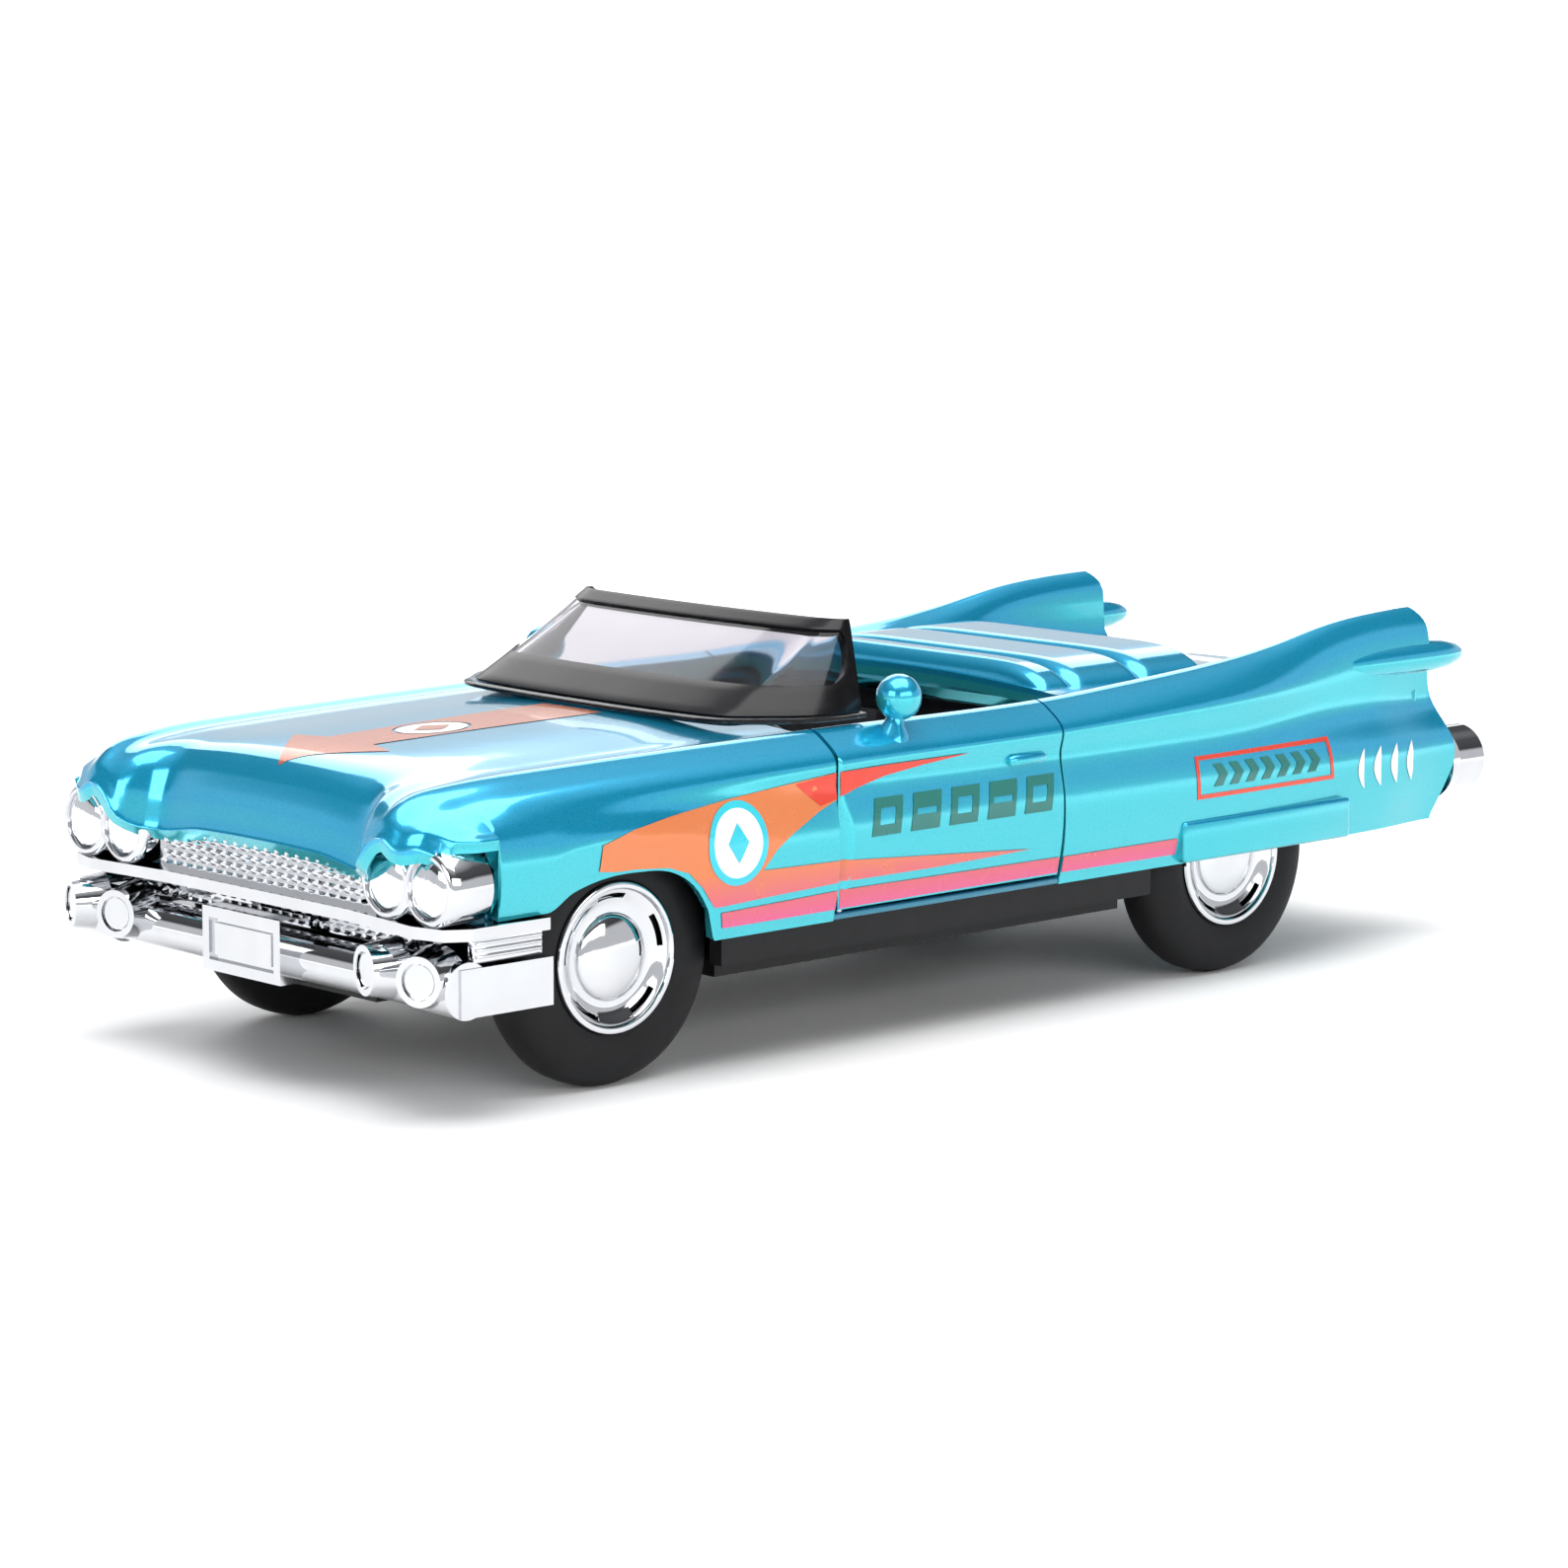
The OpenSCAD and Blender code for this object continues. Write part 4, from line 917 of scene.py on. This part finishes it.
# ---- Base, screws and post ----
# Matt black moulding with side sills and a round post for the packing screw. Two screws hold it
# to the body, and it carries the axles and the spring motor with its plastic gears.
base_black = surface("base_black", (0.007, 0.007, 0.008), 0.45, 0, 500, 0.25, 0.2, 0.25, 3000)
base_black.node_tree.nodes["Principled BSDF"].inputs["Specular IOR Level"].default_value = 0.25
steel = surface("drawn_steel", (0.5, 0.5, 0.52), 0.28, 1.0, 900, 0.08, 0.3, 0.1, 4000)
acetal = surface("gear_plastic", (0.78, 0.78, 0.72), 0.42, 0, 400, 0.04, 0.15, 0.05, 2500)
blued = surface("spring_strip", (0.09, 0.11, 0.17), 0.3, 1.0, 1200, 0.3, 0.3, 0.08, 4000)
for node, look in (("chassis_base", base_black), ("transit_post", base_black), ("base_screws", steel),
                   ("motor_housing", base_black), ("motor_cover", base_black), ("motor_screws", steel),
                   ("front_axle", steel), ("rear_axle", steel), ("compound_pin", steel),
                   ("barrel_arbor", steel),
                   ("hinge_pin_left", steel), ("hinge_pin_right", steel), ("mainspring", blued),
                   ("axle_pinion", acetal), ("compound_gear", acetal), ("spring_barrel", acetal)):
    piece = frame["nodes"][node]
    rounding = piece.modifiers.new("rounding", "BEVEL")
    rounding.width = (0.2 if node == "chassis_base" else 0.06) * MM
    rounding.segments = 2
    rounding.limit_method = "ANGLE"
    rounding.angle_limit = math.radians(40)
    piece.data.materials.clear()
    piece.data.materials.append(look)
    smooth(piece, 40)

# ---- Wheels ----
# Plated wheels with a domed cap, five narrow slots near the rim and a rolled lip, in smooth matt
# tyres with rounded shoulders. They are pressed on 2 mm axles.
rubber = surface("tyre_rubber", (0.006, 0.006, 0.007), 0.6, 0, 350, 0.3, 0.15, 0.4, 2600)
rubber.node_tree.nodes["Principled BSDF"].inputs["Specular IOR Level"].default_value = 0.25
# Near-black metal for the floor behind the wheel slots: painted shade in the recess.
recess_painted_shade = surface("wheel_recess_painted_shade", (0.02, 0.02, 0.022), 0.5, 0.6, 500, 0.2, 0.2, 0.1, 2500)
for where_x, place in ((front_x, "front"), (rear_x, "rear")):
    for side, name in ((1, "left"), (-1, "right")):
        body = place + "_wheels"
        low, high = [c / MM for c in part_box("tyre_%s_%s" % (place, name))]
        inner, outer = sorted((low.y, high.y), key=abs)
        centre = (where_x, inner, axle_z)
        radius, width, lip = (high.z - low.z) / 2, abs(outer - inner), 7.1
        tyre_outline = [(0.6, lip - 0.6), (0.15, lip + 0.6), (0.05, lip + 1.6), (0.15, radius - 2.2),
                        (0.5, radius - 1.2), (1.1, radius - 0.45), (2.0, radius - 0.06), (2.8, radius),
                        (width - 2.8, radius), (width - 2.0, radius - 0.06),
                        (width - 1.1, radius - 0.45),
                        (width - 0.5, radius - 1.2), (width - 0.15, radius - 2.2),
                        (width - 0.02, lip + 1.8), (width - 0.1, lip + 0.8), (width - 0.35, lip + 0.1),
                        (width - 0.9, lip - 0.1), (width - 1.4, lip - 0.6), (0.6, lip - 0.6)]
        tyre = turned("tyre_%s_%s_visual" % (place, name), tyre_outline, centre, (0, side, 0), 128)
        finish(tyre, rubber, body)
        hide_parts("tyre_%s_%s" % (place, name))
        rim_outline = [(1.2, 0), (1.2, 2.4), (3.0, 2.5), (3.0, lip - 1.0), (width - 1.5, lip - 0.7),
                       (width - 0.6, lip - 0.1), (width - 0.25, lip), (width - 0.05, lip - 0.1),
                       (width + 0.05, lip - 0.35), (width - 0.02, lip - 0.6),
                       (width - 0.3, lip - 0.78), (width - 0.9, lip - 0.8)]
        rim = turned("rim_%s_%s" % (place, name), rim_outline, centre, (0, side, 0), 96)
        hub_outline = [(width - 1.4, 4.1), (width - 0.95, 4.12), (width - 0.78, 4.0),
                (width - 0.55, 3.6),
                       (width - 0.3, 2.9), (width - 0.08, 2.0), (width + 0.05, 1.1), (width + 0.1, 0)]
        hub = turned("hub_%s_%s" % (place, name), hub_outline, centre, (0, side, 0), 96)
        # A flat ring behind the slots, in near-black metal: painted shade in the wheel's recess, where
        # the rest of the wheel is plated.
        floor_ring = turned("recess_%s_%s" % (place, name), [(width - 1.75, 3.9), (width - 1.75, 6.4)],
                            centre, (0, side, 0), 96)
        # dished disc with five slots, each 32 degrees long, in its fourth ring
        verts, faces, around, slot_ring = [], [], 180, 3
        pitch, slot_cells = around // 5, 16
        dish = ((3.95, -1.05), (4.6, -1.12), (5.1, -1.0), (5.5, -0.78), (5.95, -0.5), (6.35, -0.32))
        for t in range(around):
            a = 2 * math.pi * t / around
            for r, h in dish:
                verts.append((where_x + r * math.cos(a), inner + side * (width + h),
                              axle_z + r * math.sin(a)))
            for k in range(len(dish) - 1):
                if k == slot_ring and t % pitch < slot_cells:
                    continue
                one, two = t * len(dish) + k, (t + 1) % around * len(dish) + k
                faces.append([one, one + 1, two + 1, two])
        disc = build("slotted_disc_%s_%s" % (place, name), verts, faces)
        if sum(p.normal.y for p in disc.data.polygons) * side < 0:
            disc.data.flip_normals()
        thicken(disc, 0.4)
        soften(disc, 0.05)
        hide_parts("wheel_%s_%s" % (place, name))
        for piece, look in ((rim, plated), (hub, plated), (disc, plated), (floor_ring, recess_painted_shade)):
            finish(piece, look, body)

# ---- Floor, light and camera ----
# A sheet of white paper that glows away from the car, a pale surround with a dark band for the
# plating to mirror, and four softboxes.
bpy.ops.object.select_all(action="DESELECT")
bpy.ops.mesh.primitive_plane_add(size=6)
floor = bpy.context.object
floor.name = "floor"
paper = surface("paper_floor", (0.88, 0.88, 0.88), 0.6, 0, 40, 0.01, 0.1, 0.02, 400)
nodes, links = paper.node_tree.nodes, paper.node_tree.links
where = nodes.new("ShaderNodeTexCoord")
distance = nodes.new("ShaderNodeVectorMath")
distance.operation = "LENGTH"
links.new(where.outputs["Object"], distance.inputs[0])
glow = nodes.new("ShaderNodeMapRange")
glow.interpolation_type = "SMOOTHSTEP"
glow.inputs["From Min"].default_value = 0.14
glow.inputs["From Max"].default_value = 0.55
links.new(distance.outputs["Value"], glow.inputs["Value"])
links.new(glow.outputs["Result"], nodes["Principled BSDF"].inputs["Emission Strength"])
nodes["Principled BSDF"].inputs["Emission Color"].default_value = (1, 1, 1, 1)
floor.data.materials.append(paper)

world = bpy.data.worlds.new("studio")
bpy.context.scene.world = world
world.use_nodes = True
nodes, links = world.node_tree.nodes, world.node_tree.links
sky = nodes["Background"]
where = nodes.new("ShaderNodeTexCoord")
split = nodes.new("ShaderNodeSeparateXYZ")
links.new(where.outputs["Generated"], split.inputs["Vector"])
fade = nodes.new("ShaderNodeValToRGB")
fade.color_ramp.elements[0].position = 0.28
fade.color_ramp.elements[0].color = (0.7, 0.71, 0.73, 1)
fade.color_ramp.elements[1].position = 0.85
fade.color_ramp.elements[1].color = (0.7, 0.71, 0.73, 1)
for position, grey in ((0.36, 0.07), (0.6, 0.1)):
    fade.color_ramp.elements.new(position).color = (grey, grey * 1.03, grey * 1.08, 1)
links.new(split.outputs["Z"], fade.inputs["Fac"])
straight = nodes.new("ShaderNodeLightPath")
pick = nodes.new("ShaderNodeMix")
pick.data_type = "RGBA"
links.new(straight.outputs["Is Camera Ray"], pick.inputs["Factor"])
links.new(fade.outputs["Color"], pick.inputs["A"])
pick.inputs["B"].default_value = (1, 1, 1, 1)
links.new(pick.outputs["Result"], sky.inputs["Color"])
sky.inputs["Strength"].default_value = 1.0


def softbox(name, place, target, size, size_y, power):
    light = bpy.data.lights.new(name, "AREA")
    light.shape = "RECTANGLE"
    light.size, light.size_y = size, size_y
    light.energy = power
    lamp = bpy.data.objects.new(name, light)
    lamp.location = place
    lamp.rotation_euler = (Vector(target) - Vector(place)).to_track_quat("-Z", "Y").to_euler()
    bpy.context.scene.collection.objects.link(lamp)


softbox("overhead", (0.05, 0.1, 0.75), (0, 0, 0), 0.9, 0.7, 7)
softbox("side_strip", (0.1, 0.75, 0.32), (0, 0, 0.02), 0.9, 0.25, 2.5)
softbox("front_strip", (0.8, 0.1, 0.35), (0.05, 0, 0.02), 0.5, 0.3, 2.0)
softbox("back_wash", (-0.5, -0.7, 0.55), (0, 0, 0.02), 0.8, 0.5, 3.0)

camera = bpy.data.objects.new("camera", bpy.data.cameras.new("camera"))
bpy.context.scene.collection.objects.link(camera)
turn, rise, roll = math.radians(136.99), math.radians(8.65), math.radians(0.23)
back = Vector((math.sin(turn) * math.cos(rise), -math.cos(turn) * math.cos(rise), math.sin(rise)))
camera.location = (0.3345, 0.3529, 0.0944)
camera.rotation_mode = "QUATERNION"
camera.rotation_quaternion = ((-back).to_track_quat("-Z", "Y")
                              @ Matrix.Rotation(roll, 4, "Z").to_quaternion())
camera.data.lens = 110.9
camera.data.sensor_width = 36
camera.data.clip_start, camera.data.clip_end = 0.01, 20
bpy.context.scene.camera = camera
bpy.context.scene.view_settings.view_transform = "Standard"
